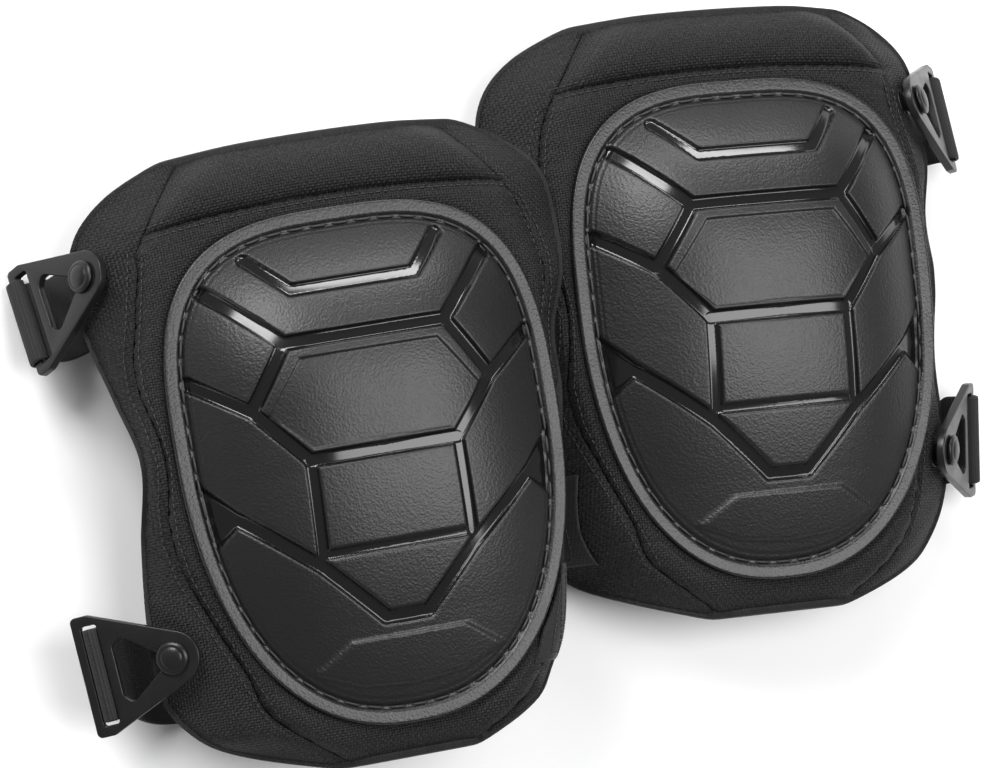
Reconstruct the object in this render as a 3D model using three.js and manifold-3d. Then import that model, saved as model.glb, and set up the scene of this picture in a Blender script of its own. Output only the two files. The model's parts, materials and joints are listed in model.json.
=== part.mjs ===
// A pair of strap-on work knee pads lying on a floor with their caps up.
// Millimetres, +Z up, +Y toward the tops of the pads. Each pad is built in a frame of its own: x = 0 on
// its long middle line, z = 0 on the fabric under the cap flange, z up out of the cap. In that frame the
// outer side, which carries the two clips, is at -x and the inner side is at +x.

import * as THREE from 'three';
import { mergeVertices } from 'three/addons/utils/BufferGeometryUtils.js';
import Module from 'manifold-3d';

const wasm = await Module();
wasm.setup();

// ---- driving dimensions -------------------------------------------------------------------------------

const GAP = 0.3; // clearance kept between rigid pieces that touch
const SOFT_GAP = 1; // clearance kept between layers of fabric and foam

const CAP = {
  halfWidth: 84,
  centreY: 20,
  topReach: 91,
  bottomReach: 131,
  topRoundness: 3,
  bottomRoundness: 2.3,
  wall: 3,
  flange: 9,
  rise: 29,
  domePower: 2.6,
  plateau: 0.28, // share of the way out over which the top is flat
  kneeLift: 0.0018, // how much more the dome rises per millimetre toward the knee end
};

const FABRIC = {
  top: 143.5,
  bottom: -124,
  seam: 117, // sewn line under the top band
  cover: 1,
  lining: 1,
  centreThickness: 20,
  wingThickness: 12,
  edgeThickness: 6,
  bow: 6, // how far the top band's seam falls at its ends
};

const GEL = { halfWidth: 56, halfHeight: 84, centreY: 12, from: 10.3 };
const BINDING = { width: 2, proud: 0.3, gap: 1 };
const STITCH = { inset: 7.6, width: 1.1, height: 0.7 };

// Heights and shares of the half width at which every fabric layer has a row or a column of its own.
const ROWS_BELOW_SEAM = [-124, -114, -98, -72, -42, -12, 16, 44, 72, 98, FABRIC.seam - GAP];
const ROWS_ABOVE_SEAM = [FABRIC.seam + GAP, 131, FABRIC.top];
const ALL_ROWS = [...ROWS_BELOW_SEAM.slice(0, -1), FABRIC.seam, ...ROWS_ABOVE_SEAM.slice(1)];
const MIDDLE_SHARES = [-1, -0.86, -0.68, -0.4, 0, 0.4, 0.68, 0.86, 1];
const WING_SHARES = [0, 0.3, 0.65, 1];

const STUD = { baseRadius: 7.6, baseHeight: 1.6, neckRadius: 3.5, headRadius: 7, headFrom: 8.7, headHeight: 3 };
const SHANK = { radius: 2.6, washerRadius: 6.5, washerHeight: 1.2, washerGap: 1.8 };

const CLIP = {
  apexRadius: 11.5,
  halfLength: 26,
  outerEdge: 40.5,
  underside: 4.7,
  thickness: 3.6,
  slotFrom: 29.5,
  slotTo: 36.5,
  slotHalfLength: 21.5,
  windowFrom: 6,
  windowTo: 25,
  windowHalfWidth: 13.5,
  throat: 3.85,
};

const WEBBING = { width: 40, thickness: 1.6 };

// Wing sections by height: y, where the bend starts, its radius, its final slope and the edge's half width.
// "upper" and "lower" are the slopes at the two studs. "lobe", "waist" and "top" say how far a wing is
// tucked in at those heights, because each wing of the pair lies differently.
const WING_STATIONS = ({ upper, lower, middle = 68, lobe = 0, waist = 0, top = 0 }) => [
  { y: FABRIC.bottom, start: 20, radius: 20, slope: 24, edge: 34 - 0.3 * lobe },
  { y: -114, start: 34, radius: 20, slope: 36, edge: 65 - 0.75 * lobe },
  { y: -104, start: 46 - 0.2 * lobe, radius: 18, slope: lower - 4, edge: 85 - lobe },
  { y: -86, start: 58 - 0.3 * lobe, radius: 18, slope: lower - 2, edge: 98 - 1.15 * lobe },
  { y: -62, start: 68 - 0.4 * lobe, radius: 15, slope: lower, edge: 101 - lobe },
  { y: -18, start: 80 - 0.3 * (lobe + waist), radius: 10, slope: middle, edge: 97.5 - 0.5 * (lobe + waist) },
  { y: 16, start: 86 - 0.7 * waist, radius: 8, slope: middle + 6, edge: 95.5 - waist },
  { y: 46, start: 85 - 0.7 * waist, radius: 9, slope: middle, edge: 101 - waist },
  { y: 72, start: 79 - 0.5 * top, radius: 15, slope: upper + 2, edge: 106 - 0.7 * top - 0.3 * waist },
  { y: 100, start: 69 - 0.45 * top, radius: 22, slope: upper, edge: 108 - top },
  { y: 122, start: 56, radius: 28, slope: upper - 8, edge: 103 - 0.8 * top },
  { y: 136, start: 40, radius: 34, slope: 34, edge: 87 - 0.4 * top },
  { y: FABRIC.top, start: 30, radius: 34, slope: 24, edge: 66 },
];

// The sewn channel between the middle and each wing: height and half width.
// "wing" is the least width left for the wing outside it, so that each stud stands clear of the core.
const CHANNEL_STATIONS = [
  { y: -124, x: 30, wing: 3 },
  { y: -99, x: 61, wing: 12 },
  { y: -79, x: 69, wing: 20 },
  { y: -57, x: 79, wing: 23 },
  { y: -28, x: 89, wing: 9 },
  { y: 20, x: 92, wing: 7 },
  { y: 52, x: 94, wing: 8 },
  { y: 80, x: 92, wing: 17 },
  { y: 111, x: 84, wing: 22 },
  { y: FABRIC.top, x: 58, wing: 3 },
];

// The left pad lies with its inner side raised over the right pad's inner wing.
const LEFT = {
  name: 'left',
  mirrored: false,
  x: -59,
  y: -37,
  flangeHeight: 75.6,
  spin: 10.4,
  roll: 4.5,
  outer: { upper: 55, lower: 28, middle: 62, lobe: -3 },
  inner: { upper: 42, lower: 70, middle: 68, lobe: 22, waist: 9, top: 5 },
  studs: {
    upper: { y: 103, edgeDistance: 8.5, swivel: 6 },
    lower: { y: -66, edgeDistance: 9.5, swivel: 5 },
  },
};

const RIGHT = {
  name: 'right',
  mirrored: true,
  x: 124,
  y: 28,
  flangeHeight: 57,
  spin: 6.7,
  roll: 0,
  outer: { upper: 52, lower: 50, middle: 68, lobe: 8, waist: 8, top: 8 },
  inner: { upper: 52, lower: 56, middle: 62 },
  studs: {
    upper: { y: 101, edgeDistance: 12, swivel: -2 },
    lower: { y: -61, edgeDistance: 11.2, swivel: 2 },
  },
};

// Straps are sewn to the lining; the lower ones show a stitched patch on the front of the inner wing.
const STRAPS = {
  upper: { y: 92, sewnFrom: 24, sewnTo: 54 },
  lower: { y: -76, sewnFrom: 14, sewnTo: 42 },
  patch: { width: 13, thickness: 1.2 },
};

// ---- materials ----------------------------------------------------------------------------------------

const material = (color, roughness) => new THREE.MeshStandardMaterial({ color, roughness, metalness: 0 });

const MOULDED = material(0x1b1b1c, 0.42);
const NYLON = material(0x141415, 0.85);
const LINING = material(0x1a1a1b, 0.95);
const FOAM = material(0x3a3a3c, 0.95);
const GEL_BLUE = material(0x2a5f8f, 0.3);
const BINDING_TAPE = material(0x101011, 0.8);
const WEB = material(0x171718, 0.9);
const CLIP_PLASTIC = material(0x1d1d1f, 0.38);
const STEEL = material(0x8a8c8f, 0.35);
const THREAD = material(0x0e0e0e, 0.8);

// ---- small tools --------------------------------------------------------------------------------------

const { lerp, smoothstep, degToRad, clamp } = THREE.MathUtils;

/** Smooth value of one key of a list of stations at height y. */
function along(stations, key, y) {
  const last = stations.length - 1;
  const at = clamp(y, stations[0].y, stations[last].y);
  let i = 0;
  while (i < last - 1 && at > stations[i + 1].y) i += 1;
  const slope = (k) => {
    const a = stations[Math.max(k - 1, 0)];
    const b = stations[Math.min(k + 1, last)];
    return (b[key] - a[key]) / (b.y - a.y);
  };
  const from = stations[i];
  const to = stations[i + 1];
  const h = to.y - from.y;
  const t = (at - from.y) / h;
  const t2 = t * t;
  const t3 = t2 * t;
  return (
    (2 * t3 - 3 * t2 + 1) * from[key] +
    (t3 - 2 * t2 + t) * h * slope(i) +
    (3 * t2 - 2 * t3) * to[key] +
    (t3 - t2) * h * slope(i + 1)
  );
}

/** Moves every vertex of a geometry by a function of its own place. */
function mapVertices(geometry, place) {
  const position = geometry.attributes.position;
  for (let i = 0; i < position.count; i += 1) {
    const at = place(position.getX(i), position.getY(i), position.getZ(i), i);
    position.setXYZ(i, at.x, at.y, at.z);
  }
  geometry.computeVertexNormals();
  return geometry;
}

/** A closed solid of the library from a geometry, its shared vertices merged. */
function solid(geometry) {
  const bare = geometry.clone();
  bare.deleteAttribute('normal');
  bare.deleteAttribute('uv');
  const merged = mergeVertices(bare, 1e-4);
  const vertProperties = new Float32Array(merged.attributes.position.array);
  const triVerts = new Uint32Array(merged.index.array);
  return new wasm.Manifold(new wasm.Mesh({ numProp: 3, vertProperties, triVerts }));
}

/** The geometry of a solid of the library. */
function geometryOf(body) {
  const mesh = body.getMesh();
  const geometry = new THREE.BufferGeometry();
  geometry.setAttribute('position', new THREE.BufferAttribute(new Float32Array(mesh.vertProperties), 3));
  geometry.setIndex(new THREE.BufferAttribute(new Uint32Array(mesh.triVerts), 1));
  geometry.computeVertexNormals();
  return geometry;
}

/** One geometry with others cut out of it. */
function cut(geometry, tools) {
  return geometryOf(tools.reduce((body, tool) => body.subtract(solid(tool)), solid(geometry)));
}

// ---- the shape of one fabric pad ----------------------------------------------------------------------

/** The pad's curved section: every fabric layer is laid between two depths below its front surface. */
function padShape(pad) {
  const wings = {
    outer: WING_STATIONS(pad.outer),
    inner: WING_STATIONS(pad.inner),
  };
  const wingAt = (x) => (x < 0 ? wings.outer : wings.inner);
  const edge = (side, y) => along(wings[side], 'edge', y);
  const sideAt = (x) => (x < 0 ? 'outer' : 'inner');
  const channel = (side, y) => {
    const narrowest = side === 'outer' ? along(CHANNEL_STATIONS, 'wing', y) : Math.min(7, along(CHANNEL_STATIONS, 'wing', y));
    return Math.min(along(CHANNEL_STATIONS, 'x', y), edge(side, y) - narrowest);
  };

  const drop = (x, y) => {
    const stations = wingAt(x);
    const slope = degToRad(along(stations, 'slope', y));
    const radius = along(stations, 'radius', y);
    const past = Math.abs(x) - along(stations, 'start', y);
    const bend = radius * Math.sin(slope);
    if (past <= 0) return 0;
    if (past < bend) return radius - Math.sqrt(radius * radius - past * past);
    return radius * (1 - Math.cos(slope)) + (past - bend) * Math.tan(slope);
  };

  const lean = (x, y) => {
    const stations = wingAt(x);
    const start = along(stations, 'start', y);
    const slope = degToRad(along(stations, 'slope', y));
    const bendEnd = start + along(stations, 'radius', y) * Math.sin(slope);
    return Math.sign(x) * slope * smoothstep(Math.abs(x), start - 12, bendEnd + 12);
  };

  const endDrop = (y) => {
    const over = Math.max(0, y - 112);
    const under = Math.max(0, -106 - y);
    return (over * over) / 84 + (under * under) / 44;
  };

  const bow = (x, y) => {
    const share = smoothstep(y, 40, FABRIC.seam) * (1 - 0.35 * smoothstep(y, FABRIC.seam, FABRIC.top));
    return FABRIC.bow * Math.min(1, (x / 84) ** 2) * share;
  };

  const thickness = (x, y) => {
    const side = sideAt(x);
    const fromEdge = Math.max(0, edge(side, y) - Math.abs(x));
    const fromEnd = Math.min(FABRIC.top - y, y - FABRIC.bottom);
    const rim = Math.min(smoothstep(fromEdge, -2, 18), smoothstep(fromEnd, -4, 18));
    const middle = smoothstep(channel(side, y) - Math.abs(x), 0, 22) * smoothstep(fromEnd, 4, 30);
    const wing = lerp(FABRIC.edgeThickness, FABRIC.wingThickness, rim);
    return wing + (FABRIC.centreThickness - FABRIC.wingThickness) * middle;
  };

  /** How close a point of the middle is to its sewn channel, from 0 to 1. */
  const pinch = (x, y) => {
    const inside = channel(sideAt(x), y) - Math.abs(x);
    return inside < 0 ? 0 : 1 - smoothstep(inside, 0, 18);
  };

  const point = (x, y, depth) => {
    const tilt = lean(x, y);
    return new THREE.Vector3(
      x - depth * Math.sin(tilt),
      y - bow(x, y),
      -drop(x, y) - endDrop(y) - depth * Math.cos(tilt),
    );
  };

  const normal = (x, y) => {
    const step = 0.5;
    const across = point(x + step, y, 0).sub(point(x - step, y, 0));
    const up = point(x, y + step, 0).sub(point(x, y - step, 0));
    return across.cross(up).normalize();
  };

  return { edge, channel, thickness, pinch, point, normal };
}

/** Turns the diagonals of a box's back face, so that its two faces fold along the same lines. */
function matchFolds(box) {
  const index = box.index.array;
  const { start, count } = box.groups[5];
  for (let i = start; i < start + count; i += 6) {
    const [a, b, d, , c] = index.slice(i, i + 5);
    index.set([a, b, c, a, c, d], i);
  }
  return box;
}

/** A layer of the pad between two depths, on a grid of heights and of columns that follow the outline. */
function layer(shape, { rows, columns, front, back }) {
  const grid = matchFolds(new THREE.BoxGeometry(1, 1, 1, columns.length - 1, rows.length - 1, 1));
  return mapVertices(grid, (u, v, w) => {
    const y = rows[Math.round((v + 0.5) * (rows.length - 1))];
    const x = columns[Math.round((u + 0.5) * (columns.length - 1))](y);
    return shape.point(x, y, w > 0 ? front(x, y) : back(x, y));
  });
}

/** Columns of the middle and the two wings, clear of the channel and of the pad's edge. */
function padColumns(shape, gap, inset) {
  const { channel, edge } = shape;
  const wing = (side, share) => (y) => lerp(channel(side, y) + gap, edge(side, y) - inset, share);
  const middle = (share) => (y) => share * (channel(share < 0 ? 'outer' : 'inner', y) - gap);
  return {
    middle: MIDDLE_SHARES.map(middle),
    inner: WING_SHARES.map((share) => wing('inner', share)),
    outer: [...WING_SHARES].reverse().map((share) => (y) => -wing('outer', share)(y)),
  };
}

// ---- cap and what is under it -------------------------------------------------------------------------

/** Distance from the cap's centre to its outline in the direction of an angle. */
function capRadius(angle) {
  const up = Math.sin(angle) > 0;
  const reach = up ? CAP.topReach : CAP.bottomReach;
  const power = up ? CAP.topRoundness : CAP.bottomRoundness;
  const sum = Math.abs(Math.cos(angle) / CAP.halfWidth) ** power + Math.abs(Math.sin(angle) / reach) ** power;
  return sum ** (-1 / power);
}

/** How far the cap reaches to each side at a height below its centre. */
function capSide(y) {
  const down = Math.abs(y - CAP.centreY) / CAP.bottomReach;
  return CAP.halfWidth * (1 - down ** CAP.bottomRoundness) ** (1 / CAP.bottomRoundness);
}

/** A turned shape stretched onto the cap's outline. Profile rows are [share of the way out, inset, z]. */
function capShape(profile, segments) {
  const rows = profile.map(([share], i) => new THREE.Vector2(share === 0 ? 0 : 1, i));
  const lathe = new THREE.LatheGeometry(rows, segments);
  const count = profile.length;
  return mapVertices(lathe, (x, y, z, index) => {
    const [share, inset, height] = profile[index % count];
    const angle = ((Math.floor(index / count) % segments) / segments) * -2 * Math.PI;
    const reach = share * (capRadius(angle) - inset);
    return new THREE.Vector3(Math.cos(angle) * reach, CAP.centreY + Math.sin(angle) * reach, height);
  });
}

/** Raises the dome of a cap-shaped geometry toward the knee end. */
function liftKneeEnd(geometry, base) {
  return mapVertices(geometry, (x, y, z) => {
    const more = 1 + CAP.kneeLift * (y - CAP.centreY);
    return new THREE.Vector3(x, y, z > base ? base + (z - base) * more : z);
  });
}

const domeHeight = (share, rise) => rise * (1 - share ** CAP.domePower);

function capGeometry() {
  const steps = [0, 0.28, 0.5, 0.68, 0.82, 0.93, 1];
  const rise = (share) => domeHeight(share <= CAP.plateau ? 0 : share, CAP.rise);
  const outer = steps.map((s) => [s, CAP.flange, CAP.wall + rise(s)]);
  const inner = steps.map((s) => [s, CAP.flange + CAP.wall, GAP + rise(s)]).reverse();
  const rim = [
    [1, 0, CAP.wall],
    [1, 0, GAP],
  ];
  return liftKneeEnd(capShape([...outer, ...rim, ...inner], 40), CAP.wall);
}

function domeFoamGeometry() {
  const inset = CAP.flange + CAP.wall + 2.5;
  const rise = CAP.rise - 2.4;
  const steps = [0, 0.45, 0.75, 1];
  const top = steps.map((s) => [s, inset, 1 + domeHeight(s, rise)]);
  return liftKneeEnd(capShape([...top, [1, inset, GAP], [0, inset, GAP]], 20), 1);
}

/** The thread line sewn round the flange, as one low ridge. */
function stitchingGeometry() {
  const low = CAP.wall + GAP;
  const section = [
    [1, STITCH.inset + STITCH.width / 2, low],
    [1, STITCH.inset, low + STITCH.height],
    [1, STITCH.inset - STITCH.width / 2, low],
    [1, STITCH.inset + STITCH.width / 2, low],
  ];
  return capShape(section, 40);
}

// ---- fabric, foam and gel -----------------------------------------------------------------------------

function fabricPieces(shape, shanks) {
  const { cover, lining } = FABRIC;
  const outside = { front: () => 0, back: () => cover };
  const stuffing = {
    front: (x, y) => cover + SOFT_GAP * (1 + 2 * shape.pinch(x, y)),
    back: (x, y) => shape.thickness(x, y) - lining - SOFT_GAP,
  };
  const inside = { front: (x, y) => shape.thickness(x, y) - lining, back: shape.thickness };
  const skin = padColumns(shape, GAP, 0);
  const filling = padColumns(shape, SOFT_GAP, 2);
  const whole = padColumns(shape, 0, 0);
  const acrossAll = [...whole.outer, ...whole.middle.slice(1, -1), ...whole.inner];
  const panel = (rows, columns) => layer(shape, { rows, columns, ...outside });
  const foam = (rows, columns) => layer(shape, { rows, columns, ...stuffing });
  const back = layer(shape, { rows: ALL_ROWS, columns: acrossAll, ...inside });
  const core = cut(foam(ROWS_BELOW_SEAM, filling.middle), [gelGeometry(SOFT_GAP)]);
  return [
    ['front_panel', panel(ROWS_BELOW_SEAM, skin.middle), NYLON],
    ['top_band', panel(ROWS_ABOVE_SEAM, skin.middle), NYLON],
    ['outer_wing_panel', cut(panel(ALL_ROWS, skin.outer), shanks), NYLON],
    ['inner_wing_panel', panel(ALL_ROWS, skin.inner), NYLON],
    ['core_foam', core, FOAM],
    ['gel_pad', gelGeometry(0), GEL_BLUE],
    ['top_foam', foam(ROWS_ABOVE_SEAM, filling.middle), FOAM],
    ['outer_wing_foam', cut(foam(ALL_ROWS, filling.outer), shanks), FOAM],
    ['inner_wing_foam', foam(ALL_ROWS, filling.inner), FOAM],
    ['lining', cut(back, shanks), LINING],
    ['edge_binding', bindingGeometry(shape), BINDING_TAPE],
  ];
}

/** The oval gel cushion against the lining, or the pocket for it when grown. */
function gelGeometry(grow) {
  const segments = 24;
  const from = GEL.from - grow;
  const to = FABRIC.centreThickness - FABRIC.lining - SOFT_GAP + grow * 4;
  const rows = [
    new THREE.Vector2(0, from),
    new THREE.Vector2(0.88, from),
    new THREE.Vector2(1, from + 3),
    new THREE.Vector2(1, to),
    new THREE.Vector2(0, to),
  ];
  return mapVertices(new THREE.LatheGeometry(rows, segments), (x, depth, z) => {
    const across = x * (GEL.halfWidth + grow);
    const up = GEL.centreY + z * (GEL.halfHeight + grow);
    return new THREE.Vector3(across, up, -depth);
  });
}

/** The tape folded over the pad's raw edge all round. */
function bindingGeometry(shape) {
  const { middle, inner, outer } = padColumns(shape, 0, 0);
  const acrossEnd = [...outer.slice(0, 1), ...middle, ...inner.slice(-1)];
  const top = FABRIC.top;
  const bottom = FABRIC.bottom;
  const spots = [
    ...ALL_ROWS.slice(0, -1).map((y) => [shape.edge('inner', y), y]),
    ...[...acrossEnd].reverse().slice(0, -1).map((x) => [x(top), top]),
    ...[...ALL_ROWS].reverse().slice(0, -1).map((y) => [-shape.edge('outer', y), y]),
    ...acrossEnd.slice(0, -1).map((x) => [x(bottom), bottom]),
  ];
  const count = spots.length;
  const frames = spots.map(([x, y], i) => {
    const before = spots[(i + count - 1) % count];
    const after = spots[(i + 1) % count];
    const outward = new THREE.Vector2(after[1] - before[1], before[0] - after[0]).normalize();
    const thick = shape.thickness(x, y);
    const front = shape.point(x, y, -BINDING.proud);
    const back = shape.point(x, y, thick + BINDING.proud);
    return { outward, front, back };
  });
  const offsets = [BINDING.gap, BINDING.gap + BINDING.width];
  const corners = [
    ['front', offsets[0]],
    ['back', offsets[0]],
    ['back', offsets[1]],
    ['front', offsets[1]],
    ['front', offsets[0]],
  ];
  const lathe = new THREE.LatheGeometry(corners.map((c, i) => new THREE.Vector2(1, i)), count);
  return mapVertices(lathe, (x, y, z, index) => {
    const frame = frames[Math.floor(index / corners.length) % count];
    const [face, offset] = corners[index % corners.length];
    const at = frame[face].clone();
    at.x += frame.outward.x * offset;
    at.y += frame.outward.y * offset;
    return at;
  });
}

// ---- studs, clips and straps --------------------------------------------------------------------------

/** The frame of one stud: origin on the wing, x toward the clip's strap bar, z out along the stud. */
function studFrame(shape, stud) {
  const x = -(shape.edge('outer', stud.y) - stud.edgeDistance);
  const origin = shape.point(x, stud.y, 0);
  const out = shape.normal(x, stud.y);
  const away = new THREE.Vector3(-1, 0, 0).projectOnPlane(out).normalize();
  away.applyAxisAngle(out, degToRad(stud.swivel));
  const side = new THREE.Vector3().crossVectors(out, away);
  const matrix = new THREE.Matrix4().makeBasis(away, side, out).setPosition(origin);
  return { matrix, thickness: shape.thickness(x, stud.y) };
}

/** A turned piece about the stud's axis, from rows of [radius, height]. */
function turned(rows, segments = 14) {
  const lathe = new THREE.LatheGeometry(rows.map(([r, h]) => new THREE.Vector2(r, h)), segments);
  return lathe.rotateX(Math.PI / 2);
}

function studGeometry(thickness) {
  const head = STUD.headFrom;
  const base = GAP + STUD.baseHeight;
  return turned([
    [0, GAP - thickness - SHANK.washerGap],
    [SHANK.radius, GAP - thickness - SHANK.washerGap],
    [SHANK.radius, GAP],
    [STUD.baseRadius, GAP],
    [STUD.baseRadius, base],
    [STUD.neckRadius, base],
    [STUD.neckRadius, head],
    [STUD.headRadius, head],
    [STUD.headRadius, head + 1.4],
    [STUD.headRadius * 0.6, head + STUD.headHeight - 0.2],
    [0, head + STUD.headHeight],
  ]);
}

function washerGeometry(thickness) {
  const top = -thickness - SHANK.washerGap;
  return turned([
    [0, top - SHANK.washerHeight],
    [SHANK.washerRadius, top - SHANK.washerHeight],
    [SHANK.washerRadius, top],
    [0, top],
  ]);
}

function shankHoleGeometry(thickness) {
  const radius = SHANK.radius + GAP;
  return turned([
    [0, -thickness - 12],
    [radius, -thickness - 12],
    [radius, 12],
    [0, 12],
  ]);
}

/** The clip's flat outline in the stud's frame: apex round the stud, strap bar at the far side. */
function clipShape() {
  const { apexRadius, halfLength, outerEdge } = CLIP;
  const shoulder = outerEdge - 8;
  const reach = Math.hypot(shoulder, halfLength);
  const turn = Math.atan2(halfLength, shoulder) + Math.acos(apexRadius / reach);
  const outline = new THREE.Shape();
  outline.moveTo(Math.cos(turn) * apexRadius, Math.sin(turn) * apexRadius);
  outline.absarc(0, 0, apexRadius, turn, 2 * Math.PI - turn, false);
  outline.lineTo(shoulder, -halfLength);
  outline.lineTo(outerEdge - 2, -halfLength);
  outline.lineTo(outerEdge, -halfLength + 3);
  outline.lineTo(outerEdge, halfLength - 3);
  outline.lineTo(outerEdge - 2, halfLength);
  outline.lineTo(shoulder, halfLength);
  outline.closePath();
  outline.holes.push(keyhole(), strapSlot());
  return outline;
}

/** The keyhole window: a round seat for the stud's neck, a throat and a flared window for its head. */
function keyhole() {
  const { windowFrom, windowTo, windowHalfWidth, throat } = CLIP;
  const seat = STUD.neckRadius + 0.6;
  const open = Math.asin(throat / seat);
  const hole = new THREE.Path();
  hole.moveTo(windowFrom, throat);
  hole.absarc(0, 0, seat, open, 2 * Math.PI - open, false);
  hole.lineTo(windowFrom, -throat);
  hole.lineTo(windowTo - 4, -windowHalfWidth);
  hole.quadraticCurveTo(windowTo, -windowHalfWidth - 1, windowTo, -windowHalfWidth + 4);
  hole.lineTo(windowTo, windowHalfWidth - 4);
  hole.quadraticCurveTo(windowTo, windowHalfWidth + 1, windowTo - 4, windowHalfWidth);
  hole.closePath();
  return hole;
}

function strapSlot() {
  const { slotFrom, slotTo, slotHalfLength } = CLIP;
  const hole = new THREE.Path();
  hole.moveTo(slotFrom, -slotHalfLength);
  hole.lineTo(slotTo, -slotHalfLength);
  hole.lineTo(slotTo, slotHalfLength);
  hole.lineTo(slotFrom, slotHalfLength);
  hole.closePath();
  return hole;
}

function clipGeometry() {
  const settings = { depth: CLIP.thickness, bevelEnabled: false, curveSegments: 7 };
  return new THREE.ExtrudeGeometry(clipShape(), settings).translate(0, 0, CLIP.underside);
}

/** The strap's turn round the clip's bar: a flat ring of webbing as wide as the strap. */
function strapLoopGeometry() {
  const inner = { from: CLIP.slotTo - 0.5, to: CLIP.outerEdge + 0.6 };
  const low = CLIP.underside - 0.5;
  const high = CLIP.underside + CLIP.thickness + 0.5;
  const ring = (grow) => {
    const path = grow ? new THREE.Shape() : new THREE.Path();
    const corner = 1 + grow;
    const [x0, x1] = [inner.from - grow, inner.to + grow];
    const [y0, y1] = [low - grow, high + grow];
    path.moveTo(x0 + corner, y0);
    path.lineTo(x1 - corner, y0);
    path.quadraticCurveTo(x1, y0, x1, y0 + corner);
    path.lineTo(x1, y1 - corner);
    path.quadraticCurveTo(x1, y1, x1 - corner, y1);
    path.lineTo(x0 + corner, y1);
    path.quadraticCurveTo(x0, y1, x0, y1 - corner);
    path.lineTo(x0, y0 + corner);
    path.quadraticCurveTo(x0, y0, x0 + corner, y0);
    return path;
  };
  const section = ring(WEBBING.thickness);
  section.holes.push(ring(0));
  const settings = { depth: WEBBING.width, bevelEnabled: false, curveSegments: 2 };
  const loop = new THREE.ExtrudeGeometry(section, settings);
  return loop.rotateX(Math.PI / 2).translate(0, WEBBING.width / 2, 0);
}

/** A band of webbing of one width, along a smooth path of [x, z] points. */
function band(points, centreY, width, thickness, steps) {
  const curve = new THREE.SplineCurve(points.map(([x, z]) => new THREE.Vector2(x, z)));
  const near = [];
  const far = [];
  for (let i = 0; i <= steps; i += 1) {
    const at = curve.getPoint(i / steps);
    const along2 = curve.getTangent(i / steps);
    const across = new THREE.Vector2(-along2.y, along2.x).multiplyScalar(thickness / 2);
    near.push(at.clone().add(across));
    far.unshift(at.clone().sub(across));
  }
  const shape = new THREE.Shape([...near, ...far]);
  const settings = { depth: width, bevelEnabled: false };
  return new THREE.ExtrudeGeometry(shape, settings).rotateX(Math.PI / 2).translate(0, centreY + width / 2, 0);
}

/** Height of the floor in the pad's frame, under a point of its cross section. */
function floorAt(pad, x) {
  const roll = degToRad(pad.roll);
  return -(pad.flangeHeight + x * Math.sin(roll)) / Math.cos(roll);
}

/** One strap, from where it is sewn to the lining down to the floor and out toward its clip. */
function strapRun(pad, strap) {
  const half = WEBBING.thickness / 2;
  const onFloor = (x, lift = 0) => [x, floorAt(pad, x) + half + lift];
  const sewn = -FABRIC.centreThickness - SOFT_GAP - half;
  const middle = (strap.sewnFrom + strap.sewnTo) / 2;
  const landing = strap.sewnFrom - 34;
  return [
    [strap.sewnTo, sewn],
    [middle, sewn],
    [strap.sewnFrom, sewn],
    [strap.sewnFrom - 12, sewn - 4],
    [landing, (sewn + floorAt(pad, landing)) / 2],
    onFloor(landing - 24, 1),
    onFloor(landing - 44),
    onFloor(-86),
  ];
}

function strapPieces(pad, shape) {
  const { upper, lower, patch } = STRAPS;
  const { width, thickness } = WEBBING;
  const strap = ({ y }, run) => band(run, y, width, thickness, 18);
  const tab = (y) => {
    const lift = 1.5 * thickness + GAP;
    const run = [-84, -69, -54].map((x) => [x, floorAt(pad, x) + lift]);
    return band(run, y, width - 4, thickness, 2);
  };
  const sewnPatch = ({ y, sewnFrom, sewnTo }) => {
    const box = new THREE.BoxGeometry(sewnTo - sewnFrom - 4, width, patch.thickness);
    const under = -FABRIC.centreThickness - thickness - 2 * SOFT_GAP - patch.thickness / 2;
    return box.translate((sewnTo + sewnFrom) / 2 + 2, y, under);
  };
  return [
    ['upper_strap', strap(upper, strapRun(pad, upper)), WEB],
    ['upper_strap_anchor', sewnPatch(upper), WEB],
    ['upper_strap_tab', tab(upper.y), WEB],
    ['lower_strap', strap(lower, strapRun(pad, lower)), WEB],
    ['lower_strap_anchor', frontPatch(shape), WEB],
    ['lower_strap_tab', tab(lower.y), WEB],
  ];
}

/** The stitched strap patch on the front of the inner wing, laid over the cover. */
function frontPatch(shape) {
  const { lower, patch } = STRAPS;
  const half = WEBBING.width / 2;
  const lift = BINDING.proud + 1.3 * SOFT_GAP;
  const farEdge = (y) => shape.edge('inner', y) - 1.6;
  const reach = (y) => Math.min(patch.width, farEdge(y) - capSide(y) - SOFT_GAP);
  return layer(shape, {
    rows: [-half, -half / 2, 0, half / 2, half].map((y) => lower.y + y),
    columns: [1, 0.67, 0.33, 0].map((share) => (y) => farEdge(y) - share * reach(y)),
    front: () => -lift - WEBBING.thickness,
    back: () => -lift,
  });
}

function fasteningPieces(level, frame) {
  const place = (geometry) => geometry.applyMatrix4(frame.matrix);
  return [
    [`${level}_stud`, place(studGeometry(frame.thickness)), CLIP_PLASTIC],
    [`${level}_stud_washer`, place(washerGeometry(frame.thickness)), STEEL],
    [`${level}_clip`, place(clipGeometry()), CLIP_PLASTIC],
    [`${level}_strap_loop`, place(strapLoopGeometry()), WEB],
  ];
}

// ---- one pad and the pair -----------------------------------------------------------------------------

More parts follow.
